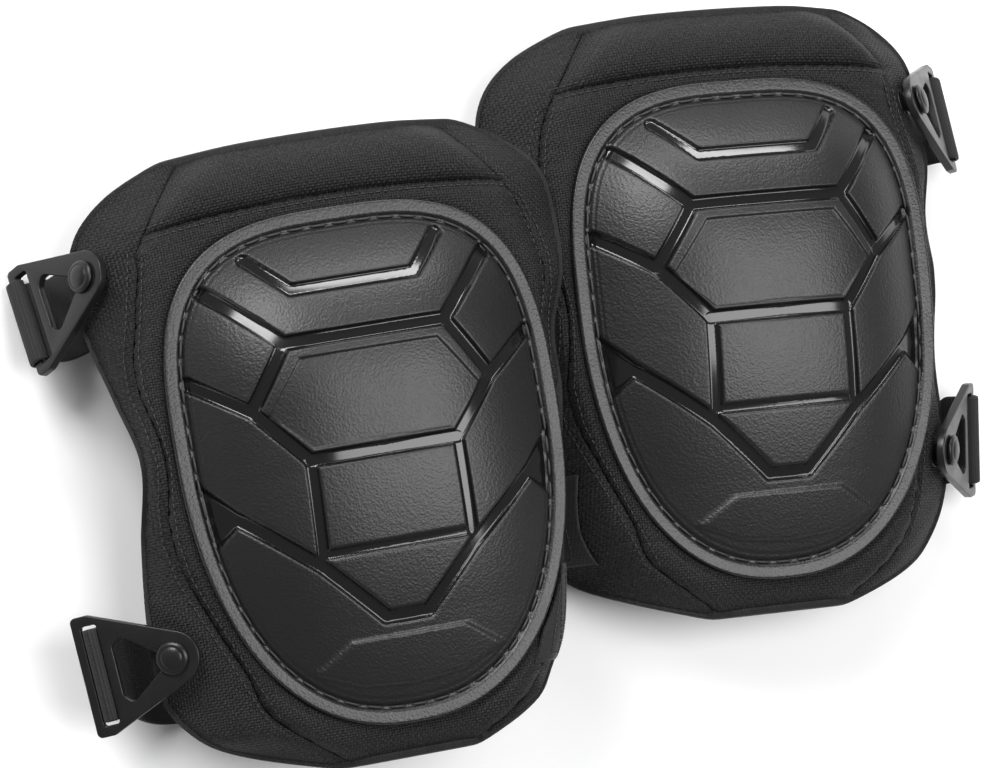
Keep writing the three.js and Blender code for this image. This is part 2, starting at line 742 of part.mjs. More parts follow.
function buildPad(pad) {
  const shape = padShape(pad);
  const frames = {
    upper: studFrame(shape, pad.studs.upper),
    lower: studFrame(shape, pad.studs.lower),
  };
  const shanks = Object.values(frames).map(({ matrix, thickness }) =>
    shankHoleGeometry(thickness).applyMatrix4(matrix),
  );
  const pieces = [
    ['cap', capGeometry(), MOULDED],
    ['cap_stitching', stitchingGeometry(), THREAD],
    ['dome_foam', domeFoamGeometry(), FOAM],
    ...fabricPieces(shape, shanks),
    ...fasteningPieces('upper', frames.upper),
    ...fasteningPieces('lower', frames.lower),
    ...strapPieces(pad, shape),
  ];
  const body = new THREE.Group();
  body.scale.x = pad.mirrored ? -1 : 1;
  for (const [name, geometry, surface] of pieces) {
    const mesh = new THREE.Mesh(geometry, surface);
    mesh.name = `${pad.name}_${name}`;
    body.add(mesh);
  }
  const placed = new THREE.Group();
  placed.add(body);
  placed.position.set(pad.x, pad.y, pad.flangeHeight);
  placed.rotation.set(0, -degToRad(pad.roll), degToRad(pad.spin), 'ZYX');
  return placed;
}

/** Moves the pair so that the middle of its underside is the origin. */
function centreOnFloor(group) {
  group.updateMatrixWorld(true);
  const box = new THREE.Box3().setFromObject(group, true);
  const middle = box.getCenter(new THREE.Vector3());
  group.position.set(-middle.x, -middle.y, -box.min.z);
  return group;
}

const kneePads = new THREE.Group();
kneePads.add(buildPad(LEFT), buildPad(RIGHT));

export default centreOnFloor(kneePads);
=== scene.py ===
"""Looks of a pair of strap-on work knee pads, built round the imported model.

Each pad is worked out in millimetres in a frame of its own, as its CAD solids are: x = 0 on the long
middle line, z = 0 on the fabric under the cap's flange, the outer side with the two clips at -x.
"""

import json
import math

import bmesh
import bpy
import numpy as np
from mathutils import Matrix, Vector


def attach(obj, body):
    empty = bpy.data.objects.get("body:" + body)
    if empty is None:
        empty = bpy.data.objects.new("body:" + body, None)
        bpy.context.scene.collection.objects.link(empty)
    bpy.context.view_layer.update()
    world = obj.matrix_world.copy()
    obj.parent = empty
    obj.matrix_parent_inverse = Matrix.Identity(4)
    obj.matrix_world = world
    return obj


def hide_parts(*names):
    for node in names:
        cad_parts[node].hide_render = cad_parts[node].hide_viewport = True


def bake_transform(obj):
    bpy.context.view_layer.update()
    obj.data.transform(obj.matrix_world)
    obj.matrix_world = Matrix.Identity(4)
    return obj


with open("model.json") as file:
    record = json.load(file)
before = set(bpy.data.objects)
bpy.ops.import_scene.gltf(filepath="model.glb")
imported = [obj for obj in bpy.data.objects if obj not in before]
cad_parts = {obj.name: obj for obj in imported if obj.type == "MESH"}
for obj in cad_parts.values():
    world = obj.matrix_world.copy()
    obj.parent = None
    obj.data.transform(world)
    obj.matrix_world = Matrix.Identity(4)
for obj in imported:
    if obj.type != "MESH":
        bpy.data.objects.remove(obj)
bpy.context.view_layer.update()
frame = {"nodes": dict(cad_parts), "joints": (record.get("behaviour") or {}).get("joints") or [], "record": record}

MM = 0.001

# ---- driving dimensions, millimetres and degrees ----

CAP_HALF_WIDTH = 84
CAP_CENTRE_Y = 20
CAP_TOP_REACH = 91
CAP_BOTTOM_REACH = 131
CAP_TOP_ROUNDNESS = 3
CAP_BOTTOM_ROUNDNESS = 2.3
CAP_WALL = 3
CAP_FLANGE = 9
CAP_RISE = 29
CAP_DOME_POWER = 2.6
CAP_KNEE_LIFT = 0.0018
CAP_GAP = 0.3
STITCH_INSET = 7.6
CAP_STITCH_PITCH = 9.8
CAP_STITCH_LENGTH = 8
CAP_THREAD_RADIUS = 0.6
NOTCH_DEPTH = 2.7
BADGE_DEPTH = 1.1
PLAQUE_RISE = 1.6
FLANGE_GLOSS = 0.12

FABRIC_TOP = 143.5
FABRIC_BOTTOM = -124
FABRIC_SEAM = 117
CENTRE_THICKNESS = 20
WING_THICKNESS = 12
EDGE_THICKNESS = 6
BAND_BOW = 6
TOP_CURL_FROM = 112
TOP_CURL = 84
BOTTOM_CURL_FROM = -106
BOTTOM_CURL = 44

WEB_WIDTH = 40
WEB_THICKNESS = 1.6
WEB_HALF = WEB_THICKNESS / 2 + 0.15
RIB_PITCH = 1.2

CLIP_APEX_RADIUS = 11.5
CLIP_HALF_LENGTH = 26
CLIP_OUTER_EDGE = 40.5
CLIP_UNDERSIDE = 4.7
CLIP_THICKNESS = 3.6
CLIP_BEVEL = 0.5
SLOT_FROM = 29.5
SLOT_TO = 36.5
SLOT_HALF_LENGTH = 21.5
WINDOW_FROM = 6
WINDOW_TO = 25
WINDOW_HALF_WIDTH = 13.5
THROAT = 3.85
NECK_RADIUS = 3.5
HEAD_RADIUS = 7
HEAD_FROM = 8.7

# Sewn channel between the middle and each wing: height, half width, least width of the outer wing.
CHANNEL = [
    (-124, 30, 3), (-99, 61, 12), (-79, 69, 20), (-57, 79, 23), (-28, 89, 9),
    (20, 92, 7), (52, 94, 8), (80, 92, 17), (111, 84, 22), (FABRIC_TOP, 58, 3),
]
CHANNEL_HALF_WIDTH, CHANNEL_LEAST_WING = 1, 2
LEAST_INNER_WING = 7
BEND_START, BEND_RADIUS, SLOPE, EDGE = 1, 2, 3, 4
WAIST_SEAM_Y = 18


def wing_stations(upper, lower, middle, lobe=0, waist=0, top=0):
    """Wing sections by height: y, where the bend starts, its radius, its final slope, the edge."""
    return [
        (FABRIC_BOTTOM, 20, 20, 24, 34 - 0.3 * lobe),
        (-114, 34, 20, 36, 65 - 0.75 * lobe),
        (-104, 46 - 0.2 * lobe, 18, lower - 4, 85 - lobe),
        (-86, 58 - 0.3 * lobe, 18, lower - 2, 98 - 1.15 * lobe),
        (-62, 68 - 0.4 * lobe, 15, lower, 101 - lobe),
        (-18, 80 - 0.3 * (lobe + waist), 10, middle, 97.5 - 0.5 * (lobe + waist)),
        (16, 86 - 0.7 * waist, 8, middle + 6, 95.5 - waist),
        (46, 85 - 0.7 * waist, 9, middle, 101 - waist),
        (72, 79 - 0.5 * top, 15, upper + 2, 106 - 0.7 * top - 0.3 * waist),
        (100, 69 - 0.45 * top, 22, upper, 108 - top),
        (122, 56, 28, upper - 8, 103 - 0.8 * top),
        (136, 40, 34, 34, 87 - 0.4 * top),
        (FABRIC_TOP, 30, 34, 24, 66),
    ]


# "upper" and "lower" are the slopes at the two studs; "lobe", "waist" and "top" tuck a wing in there.
PADS = {
    "left": {
        "mirror": 1,
        "height": 75.6,
        "spin": 10.4,
        "roll": 4.5,
        "outer": {"upper": 55, "lower": 28, "middle": 62, "lobe": -3},
        "inner": {"upper": 42, "lower": 70, "middle": 68, "lobe": 22, "waist": 9, "top": 5},
    },
    "right": {
        "mirror": -1,
        "height": 57,
        "spin": 6.7,
        "roll": 0,
        "outer": {"upper": 52, "lower": 50, "middle": 68, "lobe": 8, "waist": 8, "top": 8},
        "inner": {"upper": 52, "lower": 56, "middle": 62},
    },
}
STRAPS = {
    "upper": {"y": 92, "sewn_from": 24, "sewn_to": 54},
    "lower": {"y": -76, "sewn_from": 14, "sewn_to": 42},
}
STRAP_LAID_TO = -86
RISER_PULL = 0.42
TAB_FROM = -84
TAB_TO = -54
PATCH_WIDTH = 13
PATCH_LOW = -96
PATCH_HIGH = -56
BINDING_DEPTH = 5.5
SEAM_GAP = 0.15
GEL_HALF_WIDTH = 56
GEL_HALF_HEIGHT = 84
GEL_CENTRE_Y = 12
QUILT_WIDTH = 2.2
LINING_THICKNESS = 1.6
STUD_TAIL = 9.3
STUD_TAIL_RADIUS = 2.6

# ---- grooves of the cap: the bends of each line on its right half, then its width and depth ----

TOP_BEND = (27, 77)
BROW_BEND = (35, 55)
HEX_SIDE = (52, 29)
HEX_FOOT = (32, 5)
KNEE_FOOT = (32.5, -35)
CHIN_BEND = (9, -65)
GROOVES = [
    ([(0, 77), TOP_BEND, (42, 93)], 4.4, 2.3),
    ([(0, 55), BROW_BEND, (61.5, 82)], 4.8, 2.6),
    ([BROW_BEND, HEX_SIDE, HEX_FOOT], 4.4, 2.4),
    ([(74, 45.5), HEX_SIDE], 4.6, 2.6),
    ([(0, 5), HEX_FOOT], 4.8, 2.6),
    ([HEX_FOOT, KNEE_FOOT], 3.6, 2.2),
    ([(0, -35), KNEE_FOOT], 3, 1.5),
    ([(64, -14), (33, -40), CHIN_BEND, (0, -65)], 4.6, 2.5),
]
NOTCH = [(77, 4), (74, -26), (60, -14)]
BADGE = [(30, 48), (46, 26), (30, 9.5), (-30, 9.5), (-46, 26), (-30, 48)]
PLAQUE = [(25, -73), (41, -84), (22, -92), (0, -94), (-22, -92), (-41, -84), (-25, -73)]


# ---- small tools ----


def smoothstep(x, low, high):
    """0 below low, 1 above high and a smooth climb between."""
    t = np.clip((np.asarray(x, float) - low) / (high - low), 0, 1)
    return t * t * (3 - 2 * t)


def along(stations, column, y):
    """Smooth values of one column of a list of stations at heights y."""
    ys = np.array([s[0] for s in stations], float)
    vs = np.array([s[column] for s in stations], float)
    last = len(ys) - 1
    at = np.clip(y, ys[0], ys[-1])
    i = np.clip(np.searchsorted(ys, at, side="left") - 1, 0, last - 1)
    before, after = np.maximum(np.arange(last + 1) - 1, 0), np.minimum(np.arange(last + 1) + 1, last)
    slopes = (vs[after] - vs[before]) / (ys[after] - ys[before])
    h = ys[i + 1] - ys[i]
    t = (at - ys[i]) / h
    return (
        (2 * t**3 - 3 * t**2 + 1) * vs[i]
        + (t**3 - 2 * t**2 + t) * h * slopes[i]
        + (3 * t**2 - 2 * t**3) * vs[i + 1]
        + (t**3 - t**2) * h * slopes[i + 1]
    )


def uneven(s, seed=0.0):
    """A smooth uneven wave of one number, between about -1 and 1."""
    broad = 0.5 * np.sin(s + seed) + 0.3 * np.sin(1.73 * s + 2.1 * seed + 1)
    return broad + 0.2 * np.sin(3.1 * s + seed * 3)


def unit(v):
    return v / np.linalg.norm(v, axis=-1, keepdims=True)


def arc_length(path):
    """Distance along a dense path at each of its points."""
    return np.concatenate([[0], np.cumsum(np.linalg.norm(np.diff(path, axis=0), axis=1))])


def sample(path, arc, at):
    """Points of a dense path at some distances along it."""
    return np.stack([np.interp(at, arc, path[:, k]) for k in range(path.shape[1])], axis=1)


def facing(path, across):
    """Face directions of webbing along a path, square to the path and to its width."""
    return np.cross(unit(np.gradient(path, axis=0)), across)


def at_height(x, y, z):
    """Pad points that share one y."""
    return np.stack([x, np.full(len(x), float(y)), z], 1)


def uv_grid(lengthwise, crosswise):
    """A place map for rings of points: one value for each ring and one for each point of a ring."""
    return np.stack(np.broadcast_arrays(lengthwise[:, None], crosswise[None, :]), -1).reshape(-1, 2)


def segment_distance(p, a, b):
    """Distance of each point of p (n x 2) to the segment from a to b."""
    a, b = np.array(a, float), np.array(b, float)
    t = np.clip(((p - a) @ (b - a)) / ((b - a) @ (b - a)), 0, 1)
    return np.linalg.norm(p - a - t[:, None] * (b - a), axis=1)


def polygon_depth(p, corners):
    """How far inside a convex polygon, listed clockwise or not, each point of p lies; negative outside."""
    centre = np.mean(np.array(corners, float), axis=0)
    depth = np.full(len(p), 1e9)
    for a, b in zip(corners, corners[1:] + corners[:1]):
        a, b = np.array(a, float), np.array(b, float)
        n = np.array([b[1] - a[1], a[0] - b[0]]) / np.linalg.norm(b - a)
        n = n if n @ (centre - a) > 0 else -n
        depth = np.minimum(depth, (p - a) @ n)
    return depth


# ---- meshes ----


def mesh_object(name, points, faces, uv=None, mask=None, smooth=True):
    """A mesh from points in metres, with a place map in tenths of a metre and a mask per point."""
    mesh = bpy.data.meshes.new(name)
    mesh.from_pydata([tuple(p) for p in points], [], faces)
    mesh.update()
    if uv is not None:
        layer = mesh.uv_layers.new(name="place")
        loops = np.zeros(len(mesh.loops), np.int32)
        mesh.loops.foreach_get("vertex_index", loops)
        layer.data.foreach_set("uv", np.asarray(uv, np.float32)[loops].ravel())
    if mask is not None:
        attribute = mesh.attributes.new("mask", "FLOAT", "POINT")
        attribute.data.foreach_set("value", np.asarray(mask, np.float32))
    if smooth:
        mesh.polygons.foreach_set("use_smooth", [True] * len(mesh.polygons))
    obj = bpy.data.objects.new(name, mesh)
    bpy.context.scene.collection.objects.link(obj)
    return obj


def grid_faces(rows, columns, start=0, wrap=False, flip=False):
    """Quads of a grid of points; wrap joins its last column to its first."""
    faces = []
    for r in range(rows - 1):
        for c in range(columns if wrap else columns - 1):
            d = (c + 1) % columns
            q = [start + r * columns + c, start + r * columns + d]
            q += [start + (r + 1) * columns + d, start + (r + 1) * columns + c]
            faces.append(q[::-1] if flip else q)
    return faces


def fix_normals(obj):
    """Faces of a closed mesh point out."""
    work = bmesh.new()
    work.from_mesh(obj.data)
    bmesh.ops.recalc_face_normals(work, faces=work.faces)
    work.to_mesh(obj.data)
    work.free()
    return obj


def shell(name, front, back, uv):
    """A closed sheet between two grids of points (rows x columns x 3)."""
    rows, columns = front.shape[:2]
    count = rows * columns
    faces = grid_faces(rows, columns) + grid_faces(rows, columns, count, flip=True)
    ring = list(range(columns)) + [r * columns + columns - 1 for r in range(1, rows)]
    ring += [(rows - 1) * columns + c for c in range(columns - 2, -1, -1)]
    ring += [r * columns for r in range(rows - 2, 0, -1)]
    for a, b in zip(ring, ring[1:] + ring[:1]):
        faces.append([b, a, a + count, b + count])
    points = np.concatenate([front.reshape(-1, 3), back.reshape(-1, 3)])
    return fix_normals(mesh_object(name, points, faces, np.concatenate([uv.reshape(-1, 2)] * 2)))


def tube_rings(name, rings, uv, closed_path=False):
    """A closed mesh through rings of points (rings x points x 3)."""
    count, sides = rings.shape[:2]
    faces = grid_faces(count, sides, wrap=True)
    if closed_path:
        faces += [[(count - 1) * sides + a, (count - 1) * sides + b, b, a]
                  for a, b in ((i, (i + 1) % sides) for i in range(sides))]
    else:
        faces += [list(range(sides))[::-1], [(count - 1) * sides + i for i in range(sides)]]
    return fix_normals(mesh_object(name, rings.reshape(-1, 3), faces, uv))


# ---- the shape of one pad ----


class Pad:
    """One pad's curved section, and where it lies in the row frame."""

    def __init__(self, name):
        self.name = name
        facts = PADS[name]
        self.wings = {side: wing_stations(**facts[side]) for side in ("outer", "inner")}
        self.height = facts["height"]
        self.roll = math.radians(facts["roll"])
        turn = Matrix.Rotation(math.radians(facts["spin"]), 3, "Z") @ Matrix.Rotation(-self.roll, 3, "Y")
        self.turn = np.array(turn) @ np.diag([facts["mirror"], 1, 1])
        mount = next(m for m in frame["record"]["mounts"] if m["name"] == f"{name}_cap_top")
        top = np.array([0, CAP_CENTRE_Y, CAP_WALL + CAP_RISE], float)
        self.origin = np.array(mount["pos_m"]) - self.turn @ top * MM

    def place(self, points):
        """Row-frame points in metres from pad points in millimetres."""
        points = np.asarray(points, float)
        return points @ self.turn.T * MM + self.origin

    def direction(self, v):
        return self.turn @ np.array(v, float)

    def pick(self, x, y, column):
        """A column of the wing sections, on the side that x is on."""
        outer = along(self.wings["outer"], column, y)
        inner = along(self.wings["inner"], column, y)
        return np.where(x < 0, outer, inner)

    def edge(self, side, y):
        return along(self.wings[side], EDGE, y)

    def channel(self, side, y):
        wing = along(CHANNEL, CHANNEL_LEAST_WING, y)
        least = wing if side == "outer" else np.minimum(wing, LEAST_INNER_WING)
        return np.minimum(along(CHANNEL, CHANNEL_HALF_WIDTH, y), self.edge(side, y) - least)

    def channel_at(self, x, y):
        return np.where(x < 0, self.channel("outer", y), self.channel("inner", y))

    def drop(self, x, y):
        """How far the bent wing lies below the flat middle: a circular bend, then a straight slope."""
        slope = np.radians(self.pick(x, y, SLOPE))
        radius = self.pick(x, y, BEND_RADIUS)
        past = np.abs(x) - self.pick(x, y, BEND_START)
        bend = radius * np.sin(slope)
        turned = radius - np.sqrt(np.maximum(radius**2 - np.maximum(past, 0) ** 2, 0))
        straight = radius * (1 - np.cos(slope)) + (past - bend) * np.tan(slope)
        return np.where(past <= 0, 0, np.where(past < bend, turned, straight))

    def lean(self, x, y):
        """Angle by which the fabric's thickness leans outward."""
        slope = np.radians(self.pick(x, y, SLOPE))
        start = self.pick(x, y, BEND_START)
        end = start + self.pick(x, y, BEND_RADIUS) * np.sin(slope)
        return np.sign(x) * slope * smoothstep((np.abs(x) - start + 12) / (end - start + 24), 0, 1)

    def thickness(self, x, y):
        from_edge = np.maximum(0, self.pick(x, y, EDGE) - np.abs(x))
        from_end = np.minimum(FABRIC_TOP - y, y - FABRIC_BOTTOM)
        rim = np.minimum(smoothstep(from_edge, -2, 18), smoothstep(from_end, -4, 18))
        middle = smoothstep(self.channel_at(x, y) - np.abs(x), 0, 22) * smoothstep(from_end, 4, 30)
        wing = EDGE_THICKNESS + (WING_THICKNESS - EDGE_THICKNESS) * rim
        return wing + (CENTRE_THICKNESS - WING_THICKNESS) * middle

    def point(self, x, y, depth):
        """Pad point at x, y and a depth below the front surface."""
        x, y = np.broadcast_arrays(np.asarray(x, float), np.asarray(y, float))
        tilt = self.lean(x, y)
        over = np.maximum(0, y - TOP_CURL_FROM)
        under = np.maximum(0, BOTTOM_CURL_FROM - y)
        share = smoothstep(y, 40, FABRIC_SEAM) * (1 - 0.35 * smoothstep(y, FABRIC_SEAM, FABRIC_TOP))
        bow = BAND_BOW * np.minimum(1, (x / CAP_HALF_WIDTH) ** 2) * share
        z = -self.drop(x, y) - over**2 / TOP_CURL - under**2 / BOTTOM_CURL - depth * np.cos(tilt)
        return np.stack([x - depth * np.sin(tilt), y - bow, z], axis=-1)

    def floor(self, x):
        """Height z of the floor under the pad, which may lie rolled to one side."""
        return -(self.height + x * math.sin(self.roll)) / math.cos(self.roll)


def cap_radius(angle):
    """Distance from the cap's centre to its outline in the direction of an angle."""
    up = np.sin(angle) > 0
    reach = np.where(up, CAP_TOP_REACH, CAP_BOTTOM_REACH)
    power = np.where(up, CAP_TOP_ROUNDNESS, CAP_BOTTOM_ROUNDNESS)
    total = np.abs(np.cos(angle) / CAP_HALF_WIDTH) ** power + np.abs(np.sin(angle) / reach) ** power
    return total ** (-1 / power)


def cap_ring(angle, radius):
    """x and y of points at angles and distances from the cap's centre."""
    return np.cos(angle) * radius, CAP_CENTRE_Y + np.sin(angle) * radius


def from_cap_centre(x, y):
    """Angle and distance of points from the cap's centre."""
    return np.arctan2(y - CAP_CENTRE_Y, x), np.hypot(x, y - CAP_CENTRE_Y)


def cap_side(y):
    """How far the cap reaches to each side at a height below its centre."""
    down = np.abs(y - CAP_CENTRE_Y) / CAP_BOTTOM_REACH
    return CAP_HALF_WIDTH * (1 - down**CAP_BOTTOM_ROUNDNESS) ** (1 / CAP_BOTTOM_ROUNDNESS)


def outside_cap(x, y):
    """How far outside the cap's outline a point lies; negative inside."""
    angle, distance = from_cap_centre(x, y)
    return distance - cap_radius(angle)


# ---- cap ----


def dome(x, y):
    """Height of the cap's smooth outer surface, with a soft foot where it meets the flange."""
    angle, distance = from_cap_centre(x, y)
    share = distance / (cap_radius(angle) - CAP_FLANGE)
    height = CAP_RISE * (1 - share**CAP_DOME_POWER)
    foot = 1.6
    height = 0.5 * (height + np.sqrt(height**2 + foot**2)) - 0.25 * foot * (height < foot)
    return CAP_WALL + np.maximum(height, 0) * (1 + CAP_KNEE_LIFT * (y - CAP_CENTRE_Y))


def relief(x, y):
    """Depth of the grooves, notches, badge and plaque below the dome, and the mask of smooth areas."""
    p = np.stack([np.abs(x), y], axis=1)
    depth = np.zeros(len(p))
    for bends, width, deep in GROOVES:
        near = np.min([segment_distance(p, a, b) for a, b in zip(bends, bends[1:])], axis=0)
        depth = np.maximum(depth, deep * (1 - smoothstep(near, width / 2 - 0.2, width / 2 + 1.3)))
    notch = smoothstep(polygon_depth(p, NOTCH), -0.6, 1.2)
    depth = np.maximum(depth, NOTCH_DEPTH * notch)
    mask = smoothstep(depth, 0.5, 1.4)
    badge = smoothstep(polygon_depth(p, BADGE), -0.4, 0.6)
    plaque = smoothstep(polygon_depth(p, PLAQUE), -0.5, 0.4)
    depth = np.maximum(depth, 0) + BADGE_DEPTH * badge - PLAQUE_RISE * plaque
    crown = 0.35 * (1 - mask) * np.minimum(1, np.abs(np.sin(y / 21)))
    return depth - crown, mask


def cap_face(angle, outline):
    """Rings and masks of the dome and the upper side of the flange, from the middle out."""
    insets = [8.4, 7.8, 7.2, 6.6, 6, 5, 4, 3, 2, 1.2, 0.6, 0.2]
    radii = [s * (outline - CAP_FLANGE) for s in np.linspace(0.004, 1, 165)]
    radii += [outline - i for i in insets]
    rings = []
    masks = []
    for radius in radii:
        x, y = cap_ring(angle, radius)
        inset = outline - radius
        depth, mask = relief(x, y)
        z = dome(x, y) - depth
        channel = 1 - smoothstep(np.abs(inset - STITCH_INSET), 0.7, 1.8)
        z = np.where(inset < CAP_FLANGE + 3, z - 1.2 * channel, z)
        z -= 0.8 * smoothstep(-inset, -0.8, 0.1)
        rings.append(np.stack([x, y, z], axis=1))
        masks.append(np.maximum(mask, FLANGE_GLOSS * smoothstep(-inset, -CAP_FLANGE - 0.5, -CAP_FLANGE + 1)))
    return rings, masks


def cap_underside(angle, outline):
    """Rings and masks of the flange's rim and the hollow under the dome, from the rim in."""
    rings = []
    masks = []
    x, y = cap_ring(angle, outline)
    for height in (CAP_WALL - 1.2, CAP_GAP):
        rings.append(np.stack([x, y, np.full(len(x), float(height))], axis=1))
        masks.append(np.full(len(x), FLANGE_GLOSS))
    for share in [1, 0.9, 0.75, 0.55, 0.3, 0.004]:
        x, y = cap_ring(angle, share * (outline - CAP_FLANGE - CAP_WALL))
        z = CAP_GAP + CAP_RISE * (1 - share**CAP_DOME_POWER) * (1 + CAP_KNEE_LIFT * (y - CAP_CENTRE_Y)) - 1
        rings.append(np.stack([x, y, np.maximum(z, CAP_GAP)], axis=1))
        masks.append(np.zeros(len(x)))
    return rings, masks


def build_cap(pad):
    """The moulded cap, one closed shell."""
    spokes = 600
    angle = np.linspace(0, 2 * np.pi, spokes, endpoint=False)
    outline = cap_radius(angle)
    face, face_masks = cap_face(angle, outline)
    under, under_masks = cap_underside(angle, outline)
    rings = face + under
    last = (len(rings) - 1) * spokes
    faces = grid_faces(len(rings), spokes, wrap=True)
    faces += [list(range(spokes)), [last + i for i in range(spokes)][::-1]]
    flat = np.concatenate(rings)
    mask = np.concatenate(face_masks + under_masks)
    obj = mesh_object(f"{pad.name}_cap_shell", pad.place(flat), faces, flat[:, :2] / 100, mask)
    return finish_piece(fix_normals(obj), pad, "pad", "moulded_cap", [f"{pad.name}_cap"])


# ---- thread ----


def stitches(name, spots, tangents, normals, length, radius):
    """Short lengths of thread lying along a seam, one at each spot, in row-frame metres."""
    points = []
    faces = []
    sides = 6
    bands = [(-0.5, 0.25, -0.6), (-0.3, 0.85, 0.1), (0, 1, 0.35), (0.3, 0.85, 0.1), (0.5, 0.25, -0.6)]
    for spot, tangent, normal in zip(spots, tangents, normals):
        across = np.cross(normal, tangent)
        start = len(points)
        for at, size, lift in bands:
            for k in range(sides):
                a = 2 * math.pi * k / sides
                ring = across * math.cos(a) * size + normal * (math.sin(a) * size + lift)
                points.append(spot + tangent * at * length + ring * radius)
        faces += grid_faces(len(bands), sides, start, wrap=True, flip=True)
        faces += [[start + k for k in range(sides)]]
        faces += [[start + (len(bands) - 1) * sides + k for k in range(sides)][::-1]]
    return mesh_object(name, points, faces, np.array(points)[:, :2] * 10)


def evenly(path, pitch):
    """Points, tangents and arc places at an even pitch along a dense path."""
    arc = arc_length(path)
    count = max(2, int(arc[-1] / pitch))
    at = (np.arange(count) + 0.5) * arc[-1] / count
    ahead = sample(path, arc, at + pitch * 0.1)
    behind = sample(path, arc, at - pitch * 0.1)
    return sample(path, arc, at), unit(ahead - behind), at


def build_cap_stitching(pad):
    """The long stitches in the channel at the foot of the dome."""
    angle = np.linspace(0, 2 * np.pi, 1400)
    x, y = cap_ring(angle, cap_radius(angle) - STITCH_INSET)
    path = pad.place(np.stack([x, y, np.full(len(x), CAP_WALL - 0.55)], axis=1))
    spots, tangents, _ = evenly(path, CAP_STITCH_PITCH * MM)
    normals = np.tile(pad.direction((0, 0, 1)), (len(spots), 1))
    length, radius = CAP_STITCH_LENGTH * MM, CAP_THREAD_RADIUS * MM
    obj = stitches(f"{pad.name}_cap_thread", spots, tangents, normals, length, radius)
    return finish_piece(obj, pad, "pad", "thread", [f"{pad.name}_cap_stitching"])


def surface_stitches(pad, name, path_xy, lift, pitch=3.2, length=2.5, radius=0.3):
    """A row of small stitches on the front surface along a path of x, y points."""
    path_xy = np.array(path_xy, float)
    dense = np.concatenate([np.linspace(a, b, 40, endpoint=False) for a, b in zip(path_xy, path_xy[1:])])
    surface = pad.place(pad.point(dense[:, 0], dense[:, 1], -lift))
    spots, tangents, at = evenly(surface, pitch * MM)
    above = pad.place(pad.point(dense[:, 0], dense[:, 1], -lift - 2))
    raised = sample(above, arc_length(surface), at)
    obj = stitches(name, spots, tangents, unit(raised - spots), length * MM, radius * MM)
    return finish_piece(obj, pad, "pad", "thread", [])


# ---- fabric ----


def pillow(distance, rise, reach, sink=1.7):
    """Height of padded fabric at a distance from its seam."""
    return (rise + sink) * (1 - np.exp(-np.maximum(distance, 0) / reach)) - sink


def puckers(arc, distance, seed, size=0.7, pitch=7.5, reach=6):
    """Small gathers that run out from a seam."""
    return size * uneven(2 * math.pi * arc / pitch, seed) * np.exp(-np.maximum(distance, 0) / reach)


def middle_front(pad, x, y):
    """How far the front panel stands above its plain section."""
    side = pad.channel_at(x, y) - np.abs(x)
    top = FABRIC_SEAM - y
    end = y - FABRIC_BOTTOM
    seam = np.minimum(np.minimum(side, top), end)
    free = smoothstep(outside_cap(x, y), 0, 5)
    rise = pillow(seam, 1.8, 4) + puckers(y, side, x[0, 0] * 0.1) + puckers(x, top, 2)
    slack = 0.75 * uneven(x / 9 + y / 13, 4) + 0.6 * uneven(y / 7 - x / 21, 1)
    return np.where(free > 0, free * (rise + slack * smoothstep(seam, 2, 9)), 0) + (1 - free) * 0.1


def band_front(pad, x, y):
    """The padded roll along the top."""
    side = pad.channel_at(x, y) - np.abs(x)
    seam = np.minimum(y - FABRIC_SEAM, FABRIC_TOP - y)
    roll = 4.4 * np.sin(np.pi * np.clip((y - FABRIC_SEAM) / (FABRIC_TOP - FABRIC_SEAM), 0, 1)) ** 0.7
    rise = roll * smoothstep(side, -1, 14) - 1.7 * np.exp(-np.maximum(np.minimum(seam, side), 0) / 3)
    return rise + puckers(x, seam, 3, 0.5, 8) + 0.3 * uneven(x / 8 + y / 5, 2)


def wing_front(pad, side_name):
    """The padded front of one wing, as a function of x and y."""

    def height(x, y):
        channel = np.abs(x) - pad.channel(side_name, y)
        edge = pad.edge(side_name, y) - np.abs(x)
        ends = np.minimum(FABRIC_TOP - y, y - FABRIC_BOTTOM)
        waist = np.abs(y - WAIST_SEAM_Y) if side_name == "inner" else np.full_like(y, 99.0)
        seam = np.minimum(np.minimum(channel, edge + 3), np.minimum(waist, ends + 3))
        rise = pillow(seam, 1.5, 4, 1.6) + puckers(y, channel, 1, 0.4) + puckers(y, edge, 5, 0.3)
        return rise + 0.8 * uneven(y / 8 + x / 11, 3) * smoothstep(seam, 2, 8)

    return height


def cloth(pad, name, x, y, front, back):
    """A closed sheet of fabric on a grid of pad places, between two grids of pad points."""
    uv = np.stack([x, y], axis=-1) / 100
    return shell(f"{pad.name}_{name}", pad.place(front), pad.place(back), uv)


def panel(pad, name, rows, columns, height, nodes):
    """A padded cover panel on a grid that follows its own seams."""
    low, high = columns
    y = rows[:, None]
    count = max(12, int(np.max(high(rows) - low(rows)) / 1.5))
    share = np.linspace(0, 1, count)[None, :]
    x = low(y) + (high(y) - low(y)) * share
    y = np.broadcast_to(y, x.shape)
    rise = height(x, y)
    front = pad.point(x, y, -rise)
    back = pad.point(x, y, 0.9 + 1.2 * (rise < -0.6))
    obj = cloth(pad, name, x, y, front, back)
    return finish_piece(obj, pad, "pad", "nylon", [f"{pad.name}_{n}" for n in nodes])


